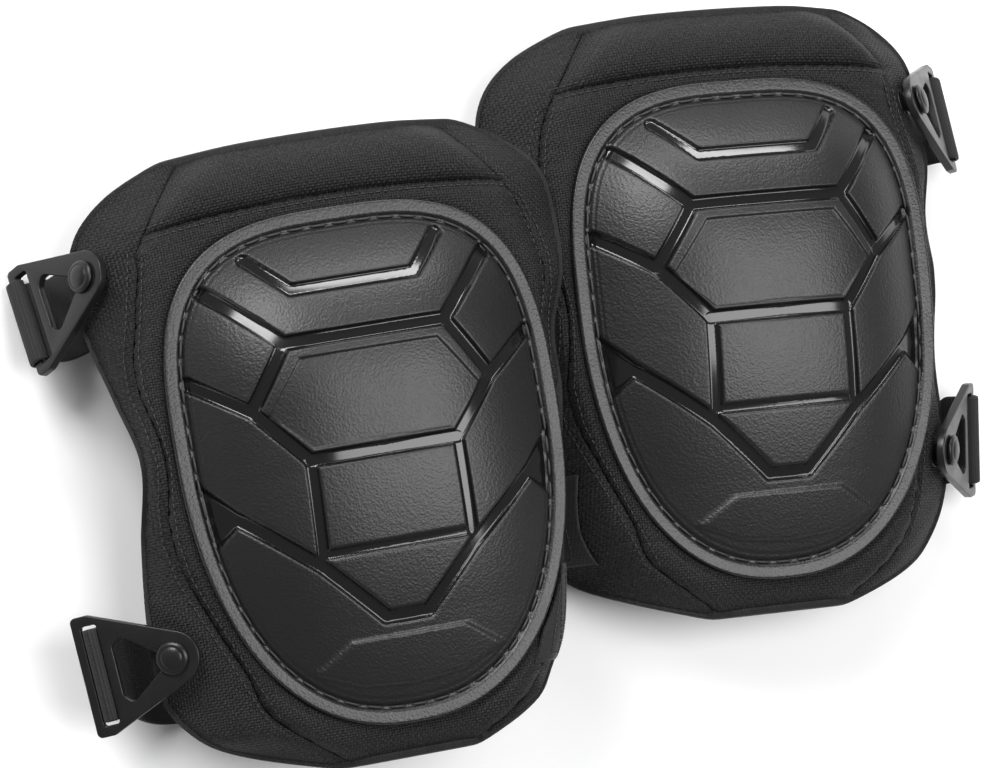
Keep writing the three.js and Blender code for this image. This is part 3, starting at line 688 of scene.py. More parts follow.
def build_covers(pad):
    """The four cover panels, which meet at the sewn channels and at the seam under the top roll."""
    gap = SEAM_GAP
    below = np.linspace(FABRIC_BOTTOM, FABRIC_SEAM - gap, 165)
    above = np.linspace(FABRIC_SEAM + gap, FABRIC_TOP, 26)
    whole = np.linspace(FABRIC_BOTTOM, FABRIC_TOP, 180)
    middle = (lambda y: -pad.channel("outer", y) + gap, lambda y: pad.channel("inner", y) - gap)
    outer = (lambda y: -pad.edge("outer", y), lambda y: -pad.channel("outer", y) - gap)
    inner = (lambda y: pad.channel("inner", y) + gap, lambda y: pad.edge("inner", y))
    panel(pad, "front_cover", below, middle, lambda x, y: middle_front(pad, x, y), ["front_panel"])
    panel(pad, "top_roll", above, middle, lambda x, y: band_front(pad, x, y), ["top_band"])
    panel(pad, "outer_wing_cover", whole, outer, wing_front(pad, "outer"), ["outer_wing_panel"])
    panel(pad, "inner_wing_cover", whole, inner, wing_front(pad, "inner"), ["inner_wing_panel"])


def build_lining(pad):
    """The lining, quilted round the gel cushion."""
    y = np.linspace(FABRIC_BOTTOM, FABRIC_TOP, 150)[:, None]
    share = np.linspace(-1, 1, 120)[None, :]
    x = share * pad.pick(share, y, EDGE)
    y = np.broadcast_to(y, x.shape)
    depth = pad.thickness(x, y)
    gel = np.hypot(x / GEL_HALF_WIDTH, (y - GEL_CENTRE_Y) / GEL_HALF_HEIGHT)
    line = np.exp(-((gel - 1.03) * 60 / QUILT_WIDTH) ** 2)
    groove = np.exp(-((np.abs(x) - pad.channel_at(x, y)) / QUILT_WIDTH) ** 2)
    sunk = 1.3 * np.maximum(line, groove) + 0.15 * uneven(x / 5 + y / 6, 1)
    front = pad.point(x, y, depth - LINING_THICKNESS - sunk)
    back = pad.point(x, y, depth - sunk)
    obj = cloth(pad, "lining_cloth", x, y, front, back)
    return finish_piece(obj, pad, "pad", "lining", [f"{pad.name}_lining"])


def outline_path(pad):
    """The pad's raw edge as x, y points, going round once."""
    y = np.linspace(FABRIC_BOTTOM, FABRIC_TOP, 170)
    inner = pad.edge("inner", y)
    outer = pad.edge("outer", y)
    top = np.linspace(inner[-1], -outer[-1], 70)[1:-1]
    bottom = np.linspace(-outer[0], inner[0], 40)[1:-1]
    right = np.stack([inner, y], 1)
    left = np.stack([-outer, y], 1)[::-1]
    return np.concatenate([
        right,
        np.stack([top, np.full(len(top), float(FABRIC_TOP))], 1),
        left,
        np.stack([bottom, np.full(len(bottom), float(FABRIC_BOTTOM))], 1),
    ])


def smooth_loop(values, times):
    """Values round a closed loop, each drawn toward its neighbours a few times."""
    for _ in range(times):
        values = (np.roll(values, 1, 0) + 2 * values + np.roll(values, -1, 0)) / 4
    return values


def build_binding(pad):
    """The tape folded over the raw edge, as a U-shaped section led round the pad."""
    path = outline_path(pad)
    ahead = unit(np.roll(path, -1, 0) - np.roll(path, 1, 0))
    outward = smooth_loop(np.stack([ahead[:, 1], -ahead[:, 0]], 1), 6)
    thick = pad.thickness(path[:, 0], path[:, 1])
    around = np.linspace(-np.pi / 2, np.pi / 2, 9)
    outside = [(1.2 * math.cos(a), math.sin(a)) for a in around]
    inside = [(0.2 + 0.4 * math.cos(a), 0.8 * math.sin(a)) for a in around[::-1]]
    section = [(-BINDING_DEPTH, -1), *outside, (-BINDING_DEPTH, 1)]
    section += [(-BINDING_DEPTH, 0.86), *inside, (-BINDING_DEPTH, -0.86)]
    half = thick / 2 + 0.9
    rings = []
    for out, across in section:
        step = outward * (out + 0.6)
        moved_y = np.clip((path + step)[:, 1], FABRIC_BOTTOM - 3, FABRIC_TOP + 3)
        base = pad.point(path[:, 0], path[:, 1], thick / 2 + across * half)
        base[:, 0] += step[:, 0]
        base[:, 1] += moved_y - path[:, 1]
        rings.append(base)
    rings = smooth_loop(np.stack(rings, axis=1), 2)
    uv = uv_grid(np.arange(len(path)) * 0.02, np.linspace(0, 0.2, rings.shape[1]))
    obj = tube_rings(f"{pad.name}_binding_tape", pad.place(rings), uv, closed_path=True)
    return finish_piece(obj, pad, "pad", "binding_tape", [f"{pad.name}_edge_binding"])


# ---- webbing ----


def ribbon(name, path, widths, faces_up, width=WEB_WIDTH):
    """Ribbed webbing along a dense path in metres, with its width and face directions at every point."""
    arc = arc_length(path) / MM
    count = max(8, int(arc[-1] / (RIB_PITCH / 4)))
    at = np.linspace(0, arc[-1], count)
    spine = sample(path, arc, at)
    across, up = unit(sample(widths, arc, at)), unit(sample(faces_up, arc, at))
    rib = 0.17 * np.cos(2 * np.pi * at / RIB_PITCH)
    half = width / 2
    places = [-half + 0.3, -half + 1.2, -half * 0.5, 0, half * 0.5, half - 1.2, half - 0.3]
    section = [(s, 1) for s in places] + [(half, 0)] + [(s, -1) for s in places[::-1]] + [(-half, 0)]
    rings = []
    for s, face in section:
        edge = 0.8 if abs(s) > half - 1 else 1.0
        lift = face * (WEB_THICKNESS / 2 * edge + rib * (0.4 if edge < 1 else 1))
        rings.append(spine + (across * s + up * lift[:, None]) * MM)
    uv = uv_grid(at / 100, np.array([s for s, _ in section]) / 100)
    return tube_rings(name, np.stack(rings, axis=1), uv)


def level_ribbon(pad, name, y, x, z, face, width=WEB_WIDTH):
    """Webbing along x at one y of the pad, its face turned one way."""
    across = np.tile(pad.direction((0, 1, 0)), (len(x), 1))
    up = np.tile(pad.direction(face), (len(x), 1))
    return ribbon(f"{pad.name}_{name}", pad.place(at_height(x, y, z)), across, up, width)


def catmull(points, steps):
    """A smooth path through points."""
    points = np.array(points, float)
    out = []
    last = len(points) - 1
    for i in range(last):
        p0, p1, p2, p3 = (points[min(max(k, 0), last)] for k in (i - 1, i, i + 1, i + 2))
        v0, v1 = (p2 - p0) / 2, (p3 - p1) / 2
        for t in np.linspace(0, 1, steps, endpoint=i == last - 1):
            a = 2 * t**3 - 3 * t**2 + 1
            b = t**3 - 2 * t**2 + t
            out.append(a * p1 + b * v0 + (1 - a) * p2 + (t**3 - t**2) * v1)
    return np.array(out)


def strap_path(pad, strap):
    """The strap from its sewn end down to the floor and out toward its clip, as pad points x, z."""
    sewn = -CENTRE_THICKNESS - 1 - WEB_HALF
    start = strap["sewn_from"]
    landing = start - 34
    ground = lambda x, lift=0.0: (x, pad.floor(x) + WEB_HALF + lift)
    return catmull([
        (strap["sewn_to"], sewn),
        ((start + strap["sewn_to"]) / 2, sewn),
        (start, sewn),
        (start - 12, sewn - 4),
        (landing, (sewn + pad.floor(landing)) / 2),
        ground(landing - 24, 1),
        ground(landing - 44),
        ground(STRAP_LAID_TO),
    ], 24)


def build_straps(pad):
    """The elastic behind the pad, and the turned-back end that lies on it."""
    for level, strap in STRAPS.items():
        path = strap_path(pad, strap)
        x, z = path[:, 0], np.maximum(path[:, 1], pad.floor(path[:, 0]) + WEB_THICKNESS / 2 + 0.2)
        spine = pad.place(at_height(x, strap["y"], z))
        across = np.tile(pad.direction((0, 1, 0)), (len(x), 1))
        obj = ribbon(f"{pad.name}_{level}_elastic", spine, across, facing(spine, across))
        finish_piece(obj, pad, "pad", "webbing", [f"{pad.name}_{level}_strap"])
        build_tab(pad, level, strap)


def build_tab(pad, level, strap):
    """The turned-back end of the strap, lying on the laid part."""
    x = np.linspace(TAB_FROM, TAB_TO, 60)
    z = pad.floor(x) + 1.5 * WEB_THICKNESS + 0.45
    obj = level_ribbon(pad, f"{level}_fold", strap["y"], x, z, (0, 0, 1), WEB_WIDTH - 4)
    finish_piece(obj, pad, "pad", "webbing", [f"{pad.name}_{level}_strap_tab"])


# ---- studs and clips ----


class Fastening:
    """The frame of one stud: x toward the clip's strap bar, z out along the stud, in millimetres."""

    def __init__(self, pad, level):
        self.pad = pad
        self.level = level
        self.name = f"{pad.name}_{level}"
        joints = {j["name"]: j for j in frame["joints"]}
        turn = joints[f"{self.name}_clip_turn"]
        push = joints[f"{self.name}_clip_unhook"]
        self.foot = np.array(turn["pos_m"])
        self.out = unit(np.array(turn["axis"]))
        self.away = unit(-np.array(push["axis"]))
        self.side = np.cross(self.out, self.away)
        self.basis = np.stack([self.away, self.side, self.out])

    def place(self, points):
        return np.asarray(points, float) @ self.basis * MM + self.foot

    def plane(self, points_xz):
        """Row-frame points from x, z points of the stud's frame."""
        return self.place(at_height(points_xz[:, 0], 0, points_xz[:, 1]))


def turned(name, rows, place):
    """A closed turned piece from rows of radius and height."""
    angle = np.linspace(0, 2 * np.pi, 64, endpoint=False)
    circle = np.stack([np.cos(angle), np.sin(angle)], 1)
    flat = np.concatenate([np.column_stack([circle * r, np.full(len(angle), float(h))]) for r, h in rows])
    return tube_rings(name, place(flat).reshape(len(rows), len(angle), 3), flat[:, :2] / 100)


def arc_points(x, y, radius, start, end, count=8):
    """Points of a circular arc, angles in degrees."""
    angles = np.radians(np.linspace(start, end, count))
    return [(x + radius * math.cos(a), y + radius * math.sin(a)) for a in angles]


def build_stud(fastening):
    """The stud: a tail through the fabric, a base, a neck and a dished head."""
    top = HEAD_FROM + 3
    rows = [(0.05, -STUD_TAIL), (STUD_TAIL_RADIUS, -STUD_TAIL), (STUD_TAIL_RADIUS, 0.4)]
    rows += arc_points(7.0, 0.9, 0.6, -90, 90)
    rows += [(5.4, 1.6), (5.1, 2.1), (4.4, 2.1), (NECK_RADIUS, 2.6), (NECK_RADIUS, HEAD_FROM)]
    rows += [(5.8, HEAD_FROM), (6.4, HEAD_FROM + 0.1)]
    rows += arc_points(HEAD_RADIUS - 0.8, HEAD_FROM + 0.9, 0.8, -70, 70)
    rows += [(6.1, HEAD_FROM + 1.85), (5.2, top - 0.75), (4.9, top - 0.95), (4.6, top - 0.7)]
    rows += [(3.6, top - 0.35), (2.4, top - 0.12), (1.2, top - 0.02), (0.05, top)]
    obj = turned(f"{fastening.name}_stud_button", rows, fastening.place)
    finish_piece(obj, fastening.pad, f"{fastening.level}_swivel", "clip_plastic", [f"{fastening.name}_stud"])


def clip_outline():
    """The clip's triangle: round at the stud, with two corners beyond the strap bar."""
    shoulder = CLIP_OUTER_EDGE - 8
    reach = math.hypot(shoulder, CLIP_HALF_LENGTH)
    turn = math.degrees(math.atan2(CLIP_HALF_LENGTH, shoulder) + math.acos(CLIP_APEX_RADIUS / reach))
    far, half = CLIP_OUTER_EDGE, CLIP_HALF_LENGTH
    points = arc_points(0, 0, CLIP_APEX_RADIUS, turn, 360 - turn, 28)
    points += arc_points(shoulder + 0.6, -half + 1.5, 1.5, 245, 270, 4)
    points += arc_points(far - 2.4, -half + 2.4, 2.4, 280, 350, 6)
    points += arc_points(far - 2.4, half - 2.4, 2.4, 10, 80, 6)
    points += arc_points(shoulder + 0.6, half - 1.5, 1.5, 90, 115, 4)
    return points


def keyhole():
    """The window: a round seat for the neck, a throat, and a wide part that lets the head through."""
    seat = NECK_RADIUS + 0.6
    opening = math.degrees(math.asin(THROAT / seat))
    points = arc_points(0, 0, seat, opening, 360 - opening, 24)
    points += [(WINDOW_FROM, -THROAT)]
    points += arc_points(WINDOW_TO - 4.2, -WINDOW_HALF_WIDTH + 3.2, 3.2, 235, 300, 6)
    points += arc_points(WINDOW_TO - 2.6, -WINDOW_HALF_WIDTH + 4, 2.6, 315, 360, 5)
    points += arc_points(WINDOW_TO - 2.6, WINDOW_HALF_WIDTH - 4, 2.6, 0, 45, 5)
    points += arc_points(WINDOW_TO - 4.2, WINDOW_HALF_WIDTH - 3.2, 3.2, 60, 125, 6)
    points += [(WINDOW_FROM, THROAT)]
    return points


def strap_slot():
    """The slot that the webbing goes through, with round corners."""
    corner = 1.2
    near, far = SLOT_FROM + corner, SLOT_TO - corner
    half = SLOT_HALF_LENGTH - corner
    points = []
    for x, y, start in [(near, -half, 180), (far, -half, 270), (far, half, 0), (near, half, 90)]:
        points += arc_points(x, y, corner, start, start + 90, 5)
    return points


def flat_plate(name, outlines, thickness, bevel):
    """A plate with holes and rounded edges, its middle plane at z = 0, in millimetres."""
    curve = bpy.data.curves.new(name, "CURVE")
    curve.dimensions = "2D"
    curve.fill_mode = "BOTH"
    curve.extrude = thickness / 2 - bevel
    curve.bevel_depth = bevel
    curve.bevel_resolution = 3
    curve.offset = -bevel
    for outline in outlines:
        spline = curve.splines.new("POLY")
        spline.points.add(len(outline) - 1)
        spline.use_cyclic_u = True
        for point, (x, y) in zip(spline.points, outline):
            point.co = (x, y, 0, 1)
    maker = bpy.data.objects.new(name, curve)
    bpy.context.scene.collection.objects.link(maker)
    bpy.context.view_layer.update()
    made = maker.evaluated_get(bpy.context.evaluated_depsgraph_get())
    mesh = bpy.data.meshes.new_from_object(made)
    bpy.data.objects.remove(maker)
    work = bmesh.new()
    work.from_mesh(mesh)
    bmesh.ops.remove_doubles(work, verts=work.verts, dist=0.005)
    bmesh.ops.recalc_face_normals(work, faces=work.faces)
    points = np.array([v.co[:] for v in work.verts])
    work.verts.index_update()
    faces = [[v.index for v in f.verts] for f in work.faces]
    work.free()
    bpy.data.meshes.remove(mesh)
    return points, faces


def build_clip(fastening):
    """The triangular clip with its window and its slot."""
    outlines = [clip_outline(), keyhole(), strap_slot()]
    name = f"{fastening.name}_hook_clip"
    points, faces = flat_plate(name, outlines, CLIP_THICKNESS, CLIP_BEVEL)
    uv = points[:, :2] / 100
    lifted = points + np.array([0, 0, CLIP_UNDERSIDE + CLIP_THICKNESS / 2])
    obj = fix_normals(mesh_object(name, fastening.place(lifted), faces, uv))
    obj.data.set_sharp_from_angle(angle=math.radians(35))
    finish_piece(obj, fastening.pad, f"{fastening.level}_hook", "clip_plastic", [f"{fastening.name}_clip"])


def loop_path(fastening):
    """The strap's turn round its bar, as x, z points of the stud's frame, from where it comes up below."""
    near, far = SLOT_TO - 0.5 - WEB_HALF, CLIP_OUTER_EDGE + 0.5 + WEB_HALF
    if fastening.name == "left_lower":
        near, far = SLOT_FROM + 1.2, SLOT_TO - 1.3
    low = CLIP_UNDERSIDE - 0.5 - WEB_HALF
    high = CLIP_UNDERSIDE + CLIP_THICKNESS + 0.4 + WEB_HALF
    round_off = min(2.4, (far - near) / 2)
    points = [(near + 0.2, low - 5.5), (near + 1.2, low - 2), (far - round_off - 0.6, low - 0.1)]
    points += arc_points(far - round_off, low + round_off, round_off, -90, 0, 7)
    points += arc_points(far - round_off, high - round_off, round_off, 0, 90, 7)
    points += arc_points(near + round_off, high - round_off, round_off, 90, 180, 7)
    points += [(near, low + 2.6)]
    return catmull(points, 6)


def build_loop(fastening):
    """The webbing round the clip's bar. Gives the point where it comes up from below."""
    spine = fastening.plane(loop_path(fastening))
    across = np.tile(fastening.side, (len(spine), 1))
    obj = ribbon(f"{fastening.name}_webbing_loop", spine, across, facing(spine, across))
    finish_piece(obj, fastening.pad, f"{fastening.level}_hook", "webbing", [f"{fastening.name}_strap_loop"])
    return spine[0]


def build_riser(fastening, top):
    """The strap between the floor and the clip, in two lengths split at its middle."""
    pad = fastening.pad
    strap = STRAPS[fastening.level]
    bottom = pad.place([[STRAP_LAID_TO, strap["y"], pad.floor(STRAP_LAID_TO) + WEB_HALF]])[0]
    outward = pad.direction((-1, 0, 0)) * np.array([1, 1, 0])
    pull = RISER_PULL * np.linalg.norm(top - bottom)
    a, b = bottom + outward * pull, top - (0.25 * fastening.away + fastening.out) * pull * 0.6
    t = np.linspace(0, 1, 120)[:, None]
    path = (1 - t) ** 3 * bottom + 3 * t * (1 - t) ** 2 * a + 3 * t**2 * (1 - t) * b + t**3 * top
    floor_side = pad.direction((0, 1, 0))
    clip_side = fastening.side * np.sign(fastening.side @ floor_side)
    turn = smoothstep(t, 0, 1)
    across = unit(floor_side * (1 - turn) + clip_side * turn)
    up = facing(path, across)
    middle = len(path) // 2
    swivel = f"{fastening.name}_swivel"
    for part, cut, bodies in [
        ("riser", slice(0, middle + 1), (f"{pad.name}_pad", swivel)),
        ("rise_end", slice(middle, len(path)), (swivel, f"{fastening.name}_hook")),
    ]:
        obj = ribbon(f"{fastening.name}_webbing_{part}", path[cut], across[cut], up[cut])
        finish_piece(obj, pad, None, "webbing", [])
        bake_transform(obj)


# ---- anchors and top stitching ----


def build_front_patch(pad):
    """The end of the lower strap, sewn on the front of the inner wing."""
    y = np.linspace(PATCH_LOW, PATCH_HIGH, 90)[:, None]
    high = pad.edge("inner", y) - 1.6
    low = high - np.minimum(PATCH_WIDTH, high - cap_side(y) - 1)
    share = np.linspace(0, 1, 70)[None, :]
    x = low + (high - low) * share
    y = np.broadcast_to(y, x.shape)
    ribs = 0.16 * np.cos(2 * np.pi * (y - PATCH_LOW) / RIB_PITCH)
    side = np.minimum(y - PATCH_LOW, PATCH_HIGH - y)
    edge = 0.5 * np.exp(-side / 0.8)
    front = pad.point(x, y, -3.1 - ribs + edge)
    back = pad.point(x, y, -1.5)
    obj = cloth(pad, "sewn_patch", x, y, front, back)
    finish_piece(obj, pad, "pad", "webbing", [f"{pad.name}_lower_strap_anchor"])
    first, last = PATCH_LOW + 3, PATCH_HIGH - 3
    outer = [(float(pad.edge("inner", at)) - 3.6, at) for at in (first, (first + last) / 2, last)]
    corner = (outer[2][0] - 4, last)
    box = [*outer, corner, (outer[0][0] - 5, first), outer[0], corner]
    surface_stitches(pad, f"{pad.name}_patch_thread", box, 3.3, 2.6, 2.2, 0.28)


def build_back_anchor(pad):
    """The sewn end of the upper strap, on the lining."""
    strap = STRAPS["upper"]
    x = np.linspace(strap["sewn_from"] + 4, strap["sewn_to"], 40)
    depth = -CENTRE_THICKNESS - WEB_THICKNESS - 2.7
    obj = level_ribbon(pad, "back_anchor", strap["y"], x, np.full(len(x), depth), (0, 0, -1))
    finish_piece(obj, pad, "pad", "webbing", [f"{pad.name}_upper_strap_anchor"])


def build_top_stitching(pad):
    """Thread beside the main seams of the front."""
    span = np.linspace(-80, 80, 9)
    for row, y in enumerate((FABRIC_SEAM - 2.6, FABRIC_SEAM + 2.4)):
        surface_stitches(pad, f"{pad.name}_band_thread_{row}", [(x, y) for x in span], 0.35)
    heights = np.linspace(-100, 112, 14)
    for side, sign in (("outer", -1), ("inner", 1)):
        for row, offset in enumerate((-2.6, 2.6)):
            line = [(sign * (float(pad.channel(side, y)) + offset), y) for y in heights]
            surface_stitches(pad, f"{pad.name}_{side}_thread_{row}", line, 0.3)
    y = WAIST_SEAM_Y - 2.6
    waist = [(float(pad.channel("inner", y)) + 1, y), (float(pad.edge("inner", y)) - 1.5, y)]
    surface_stitches(pad, f"{pad.name}_waist_thread", waist, 0.2)


# ---- materials ----


class Shader:
    """A short way to write a node material."""

    def __init__(self, name, color, roughness, sockets=()):
        self.material = bpy.data.materials.new(name)
        self.material.use_nodes = True
        self.tree = self.material.node_tree
        self.surface = self.tree.nodes["Principled BSDF"]
        self.surface.inputs["Base Color"].default_value = (*color, 1)
        self.surface.inputs["Roughness"].default_value = roughness
        for socket, value in dict(sockets).items():
            self.surface.inputs[socket].default_value = value

    def node(self, kind, inputs=(), **settings):
        made = self.tree.nodes.new(kind)
        for key, value in settings.items():
            setattr(made, key, value)
        for socket, value in dict(inputs).items():
            if isinstance(value, bpy.types.NodeSocket):
                self.tree.links.new(value, made.inputs[socket])
            else:
                made.inputs[socket].default_value = value
        return made

    def math(self, operation, a, b=0.0, clamp=False):
        return self.node("ShaderNodeMath", {0: a, 1: b}, operation=operation, use_clamp=clamp).outputs[0]

    def scale(self, value, low, high, to_low, to_high):
        inputs = {"Value": value, "From Min": low, "From Max": high, "To Min": to_low, "To Max": to_high}
        return self.node("ShaderNodeMapRange", inputs).outputs[0]

    def place(self):
        return self.node("ShaderNodeUVMap", uv_map="place").outputs[0]

    def position(self):
        return self.node("ShaderNodeTexCoord").outputs["Object"]

    def noise(self, vector, scale, detail=3.0, rough=0.55):
        inputs = {"Vector": vector, "Scale": scale, "Detail": detail, "Roughness": rough}
        return self.node("ShaderNodeTexNoise", inputs).outputs["Fac"]

    def mix(self, factor, a, b):
        """A colour between a and b."""
        return self.node("ShaderNodeMix", {0: factor, 6: (*a, 1), 7: (*b, 1)}, data_type="RGBA").outputs[2]

    def set(self, socket, value):
        self.tree.links.new(value, self.surface.inputs[socket])

    def bump(self, height, strength, distance):
        inputs = {"Height": height, "Strength": strength, "Distance": distance * MM}
        made = self.node("ShaderNodeBump", inputs)
        self.set("Normal", made.outputs[0])

    def wave(self, value, pitch, over=100.0):
        """Sine of a place coordinate with a pitch in millimetres."""
        return self.math("SINE", self.math("MULTIPLY", value, 2 * math.pi * over / pitch))


def moulded_plastic():
    """Pebbled plates, with smooth glossy grooves where the mask is set."""
    s = Shader("moulded_cap", (0.012, 0.012, 0.0125), 0.4)
    at = s.place()
    mask = s.node("ShaderNodeAttribute", attribute_name="mask").outputs["Fac"]
    cells = s.node("ShaderNodeTexVoronoi", {"Vector": at, "Scale": 105.0}, feature="SMOOTH_F1")
    fine = s.noise(at, 140.0, 4.0)
    plates = s.math("SUBTRACT", 1.0, mask, clamp=True)
    pebbles = s.math("ADD", cells.outputs["Distance"], s.math("MULTIPLY", fine, 0.6))
    height = s.math("MULTIPLY", pebbles, plates)
    s.bump(height, 0.5, 0.28)
    worn = s.noise(at, 6.0, 5.0)
    rough = s.scale(s.math("ADD", mask, s.math("MULTIPLY", worn, 0.25)), 0.1, 1.1, 0.42, 0.13)
    s.set("Roughness", rough)
    s.set("Base Color", s.mix(fine, (0.002, 0.002, 0.0022), (0.009, 0.009, 0.0095)))
    return s.material


def woven(name, dark, light, pitch, strength, roughness=0.66, sheen=0.0):
    """Basket weave: over and under threads on a checked grid."""
    s = Shader(name, dark, roughness, {"Sheen Weight": sheen, "Specular IOR Level": 0.3})
    at = s.node("ShaderNodeSeparateXYZ", {0: s.place()})
    u = s.math("ABSOLUTE", s.wave(at.outputs[0], 2 * pitch))
    v = s.math("ABSOLUTE", s.wave(at.outputs[1], 2 * pitch))
    over = s.math("MULTIPLY", s.wave(at.outputs[0], 2 * pitch), s.wave(at.outputs[1], 2 * pitch))
    check = s.scale(over, -0.1, 0.1, 0.0, 1.0)
    under = s.math("SUBTRACT", 1.0, check)
    blend = s.math("ADD", s.math("MULTIPLY", u, check), s.math("MULTIPLY", v, under))
    specks = s.noise(s.place(), 90.0, 4.0, 0.7)
    height = s.math("ADD", blend, s.math("MULTIPLY", specks, 0.5))
    s.bump(height, strength, 0.4)
    tone = s.math("MULTIPLY", blend, s.scale(specks, 0.42, 0.72, 0.0, 1.0), clamp=True)
    s.set("Base Color", s.mix(tone, dark, light))
    return s.material


def ribbed_webbing():
    """Ribs across the webbing, threads along it and a little fluff."""
    s = Shader("webbing", (0.006, 0.006, 0.0065), 0.78, {"Sheen Weight": 0.08, "Specular IOR Level": 0.4})
    at = s.node("ShaderNodeSeparateXYZ", {0: s.place()})
    ribs = s.scale(s.wave(at.outputs[0], RIB_PITCH), -1.0, 1.0, 0.0, 1.0)
    threads = s.scale(s.wave(at.outputs[1], 0.9), -1.0, 1.0, 0.0, 1.0)
    fluff = s.noise(s.place(), 80.0, 4.0, 0.7)
    height = s.math("ADD", s.math("MULTIPLY", threads, 0.5), fluff)
    s.bump(height, 0.5, 0.25)
    weave = s.math("MULTIPLY", ribs, threads)
    tone = s.math("MULTIPLY", weave, s.scale(fluff, 0.3, 0.7, 0.2, 1.0), clamp=True)
    s.set("Base Color", s.mix(tone, (0.002, 0.002, 0.0023), (0.03, 0.03, 0.032)))
    return s.material


def grained(name, dark, light, roughness, scale, strength, distance, sockets=()):
    """A plain moulded, foamed or metal surface with fine uneven grain."""
    s = Shader(name, dark, roughness, sockets)
    at = s.position()
    fine = s.noise(at, scale, 4.0)
    broad = s.noise(at, scale * 0.06, 3.0)
    s.bump(fine, strength, distance)
    s.set("Base Color", s.mix(s.math("MULTIPLY", fine, s.math("ADD", broad, 0.4), clamp=True), dark, light))
    s.set("Roughness", s.scale(broad, 0.3, 0.7, roughness - 0.06, roughness + 0.06))
    return s.material


# Grained materials: dark and light colour, roughness, grain per metre, its strength and depth, sockets.
GRAINED = {
    "thread": ((0.008, 0.008, 0.008), (0.03, 0.03, 0.03), 0.6, 2600.0, 0.3, 0.1),
    "clip_plastic": (
        (0.006, 0.006, 0.0065), (0.012, 0.012, 0.0125), 0.32, 1500.0, 0.12, 0.1, {"Specular IOR Level": 0.3},
    ),
    "foam": ((0.03, 0.03, 0.032), (0.08, 0.08, 0.085), 0.95, 900.0, 0.6, 0.5),
    "gel": ((0.03, 0.12, 0.3), (0.06, 0.2, 0.42), 0.22, 60.0, 0.1, 0.3, {"Coat Weight": 0.5}),
    "steel": ((0.35, 0.36, 0.37), (0.55, 0.56, 0.57), 0.3, 700.0, 0.1, 0.1, {"Metallic": 1.0}),
}
MATERIALS = {
    "moulded_cap": moulded_plastic(),
    "nylon": woven("nylon", (0.0008, 0.0008, 0.001), (0.032, 0.032, 0.034), 1.2, 1.0),
    "lining": woven("lining", (0.008, 0.008, 0.009), (0.03, 0.03, 0.032), 1.6, 0.4, 0.95, 0.12),
    "binding_tape": woven("binding_tape", (0.004, 0.004, 0.0045), (0.022, 0.022, 0.024), 0.8, 0.5),
    "webbing": ribbed_webbing(),
    **{name: grained(name, *values) for name, values in GRAINED.items()},
}


# ---- what every piece gets ----


def finish_piece(obj, pad, body, slot, nodes):
    """The material looked up by slot, the body, and hiding of the CAD nodes that the piece stands for."""
    obj.data.materials.clear()
    obj.data.materials.append(MATERIALS[slot])
    if body is not None:
        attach(obj, f"{pad.name}_{body}")
    if nodes:
        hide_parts(*nodes)
    return obj


def dress_hidden_nodes(pad):
    """Foam, gel and washers stay as they are in the CAD model, with materials of their own."""
    foams = ("dome_foam", "core_foam", "top_foam", "outer_wing_foam", "inner_wing_foam")
    kept = {**dict.fromkeys(foams, "foam"), "gel_pad": "gel"}
    kept.update({f"{level}_stud_washer": "steel" for level in STRAPS})
    for node, slot in kept.items():
        obj = frame["nodes"][f"{pad.name}_{node}"]
        obj.data.materials.clear()
        obj.data.materials.append(MATERIALS[slot])


# ---- floor, light and camera ----


def build_floor():
    half = 6
    corners = [(-half, -half, 0), (half, -half, 0), (half, half, 0), (-half, half, 0)]
    floor = mesh_object("floor", corners, [[0, 1, 2, 3]], smooth=False)
    s = Shader("floor", (0.86, 0.86, 0.86), 0.7)
    paper = s.noise(s.position(), 9.0, 4.0)
    s.set("Base Color", s.mix(paper, (0.85, 0.85, 0.85), (0.87, 0.87, 0.87)))
    floor.data.materials.append(s.material)


def add_light(name, place, aim, size, watts):
    lamp = bpy.data.lights.new(name, "AREA")
    lamp.shape = "RECTANGLE"
    lamp.size, lamp.size_y = size
    lamp.energy = watts
    obj = bpy.data.objects.new(name, lamp)
    obj.location = place
    obj.rotation_euler = (Vector(aim) - Vector(place)).to_track_quat("-Z", "Y").to_euler()
    bpy.context.scene.collection.objects.link(obj)


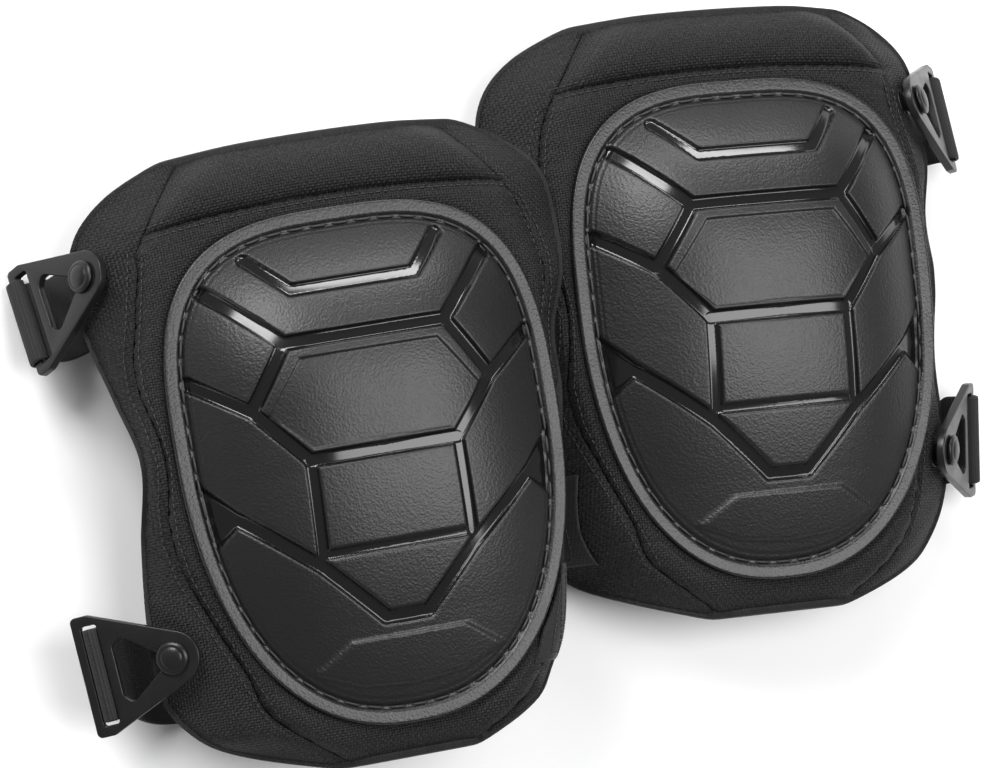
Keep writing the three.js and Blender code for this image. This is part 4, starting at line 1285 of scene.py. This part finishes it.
def build_lights():
    add_light("window", (-1.2, 1.1, 1.35), (0, 0, 0), (0.9, 0.9), 40)
    add_light("overhead", (0.15, 1.9, 1.1), (0, 0.05, 0), (1.5, 0.35), 26)
    add_light("softbox", (0.55, -0.05, 1.65), (0, 0, 0), (0.8, 1.7), 30)
    bpy.context.scene.view_settings.view_transform = "Standard"
    world = bpy.context.scene.world or bpy.data.worlds.new("studio")
    bpy.context.scene.world = world
    world.use_nodes = True
    background = world.node_tree.nodes["Background"]
    background.inputs["Color"].default_value = (1, 1, 1, 1)
    background.inputs["Strength"].default_value = 0.26


CAMERA_YAW = 18
CAMERA_PITCH = -5
CAMERA_DISTANCE = 1.96
CAMERA_LENS = 165.5
AIM_FROM_RIGHT_PAD = (-124, -28, 0)


def build_camera(right_pad):
    yaw, pitch = math.radians(CAMERA_YAW), math.radians(CAMERA_PITCH)
    back = Vector((-math.sin(yaw) * math.cos(pitch), math.sin(pitch), math.cos(yaw) * math.cos(pitch)))
    right = Vector((math.cos(yaw), 0, math.sin(yaw)))
    up = back.cross(right)
    aim = Vector(right_pad.origin) + Vector(AIM_FROM_RIGHT_PAD) * MM
    camera = bpy.data.objects.new("camera", bpy.data.cameras.new("camera"))
    camera.data.lens = CAMERA_LENS
    turn = Matrix((right, up, back)).transposed().to_4x4()
    camera.matrix_world = Matrix.Translation(aim + back * CAMERA_DISTANCE) @ turn
    bpy.context.scene.collection.objects.link(camera)
    bpy.context.scene.camera = camera


# ---- everything together ----


def build_pad(pad):
    """Every piece of one pad."""
    build_cap(pad)
    build_cap_stitching(pad)
    build_covers(pad)
    build_lining(pad)
    build_binding(pad)
    build_top_stitching(pad)
    build_straps(pad)
    build_front_patch(pad)
    build_back_anchor(pad)
    for level in STRAPS:
        fastening = Fastening(pad, level)
        build_stud(fastening)
        build_clip(fastening)
        build_riser(fastening, build_loop(fastening))
    dress_hidden_nodes(pad)


pads = [Pad("left"), Pad("right")]
for each in pads:
    build_pad(each)
build_floor()
build_lights()
build_camera(pads[1])
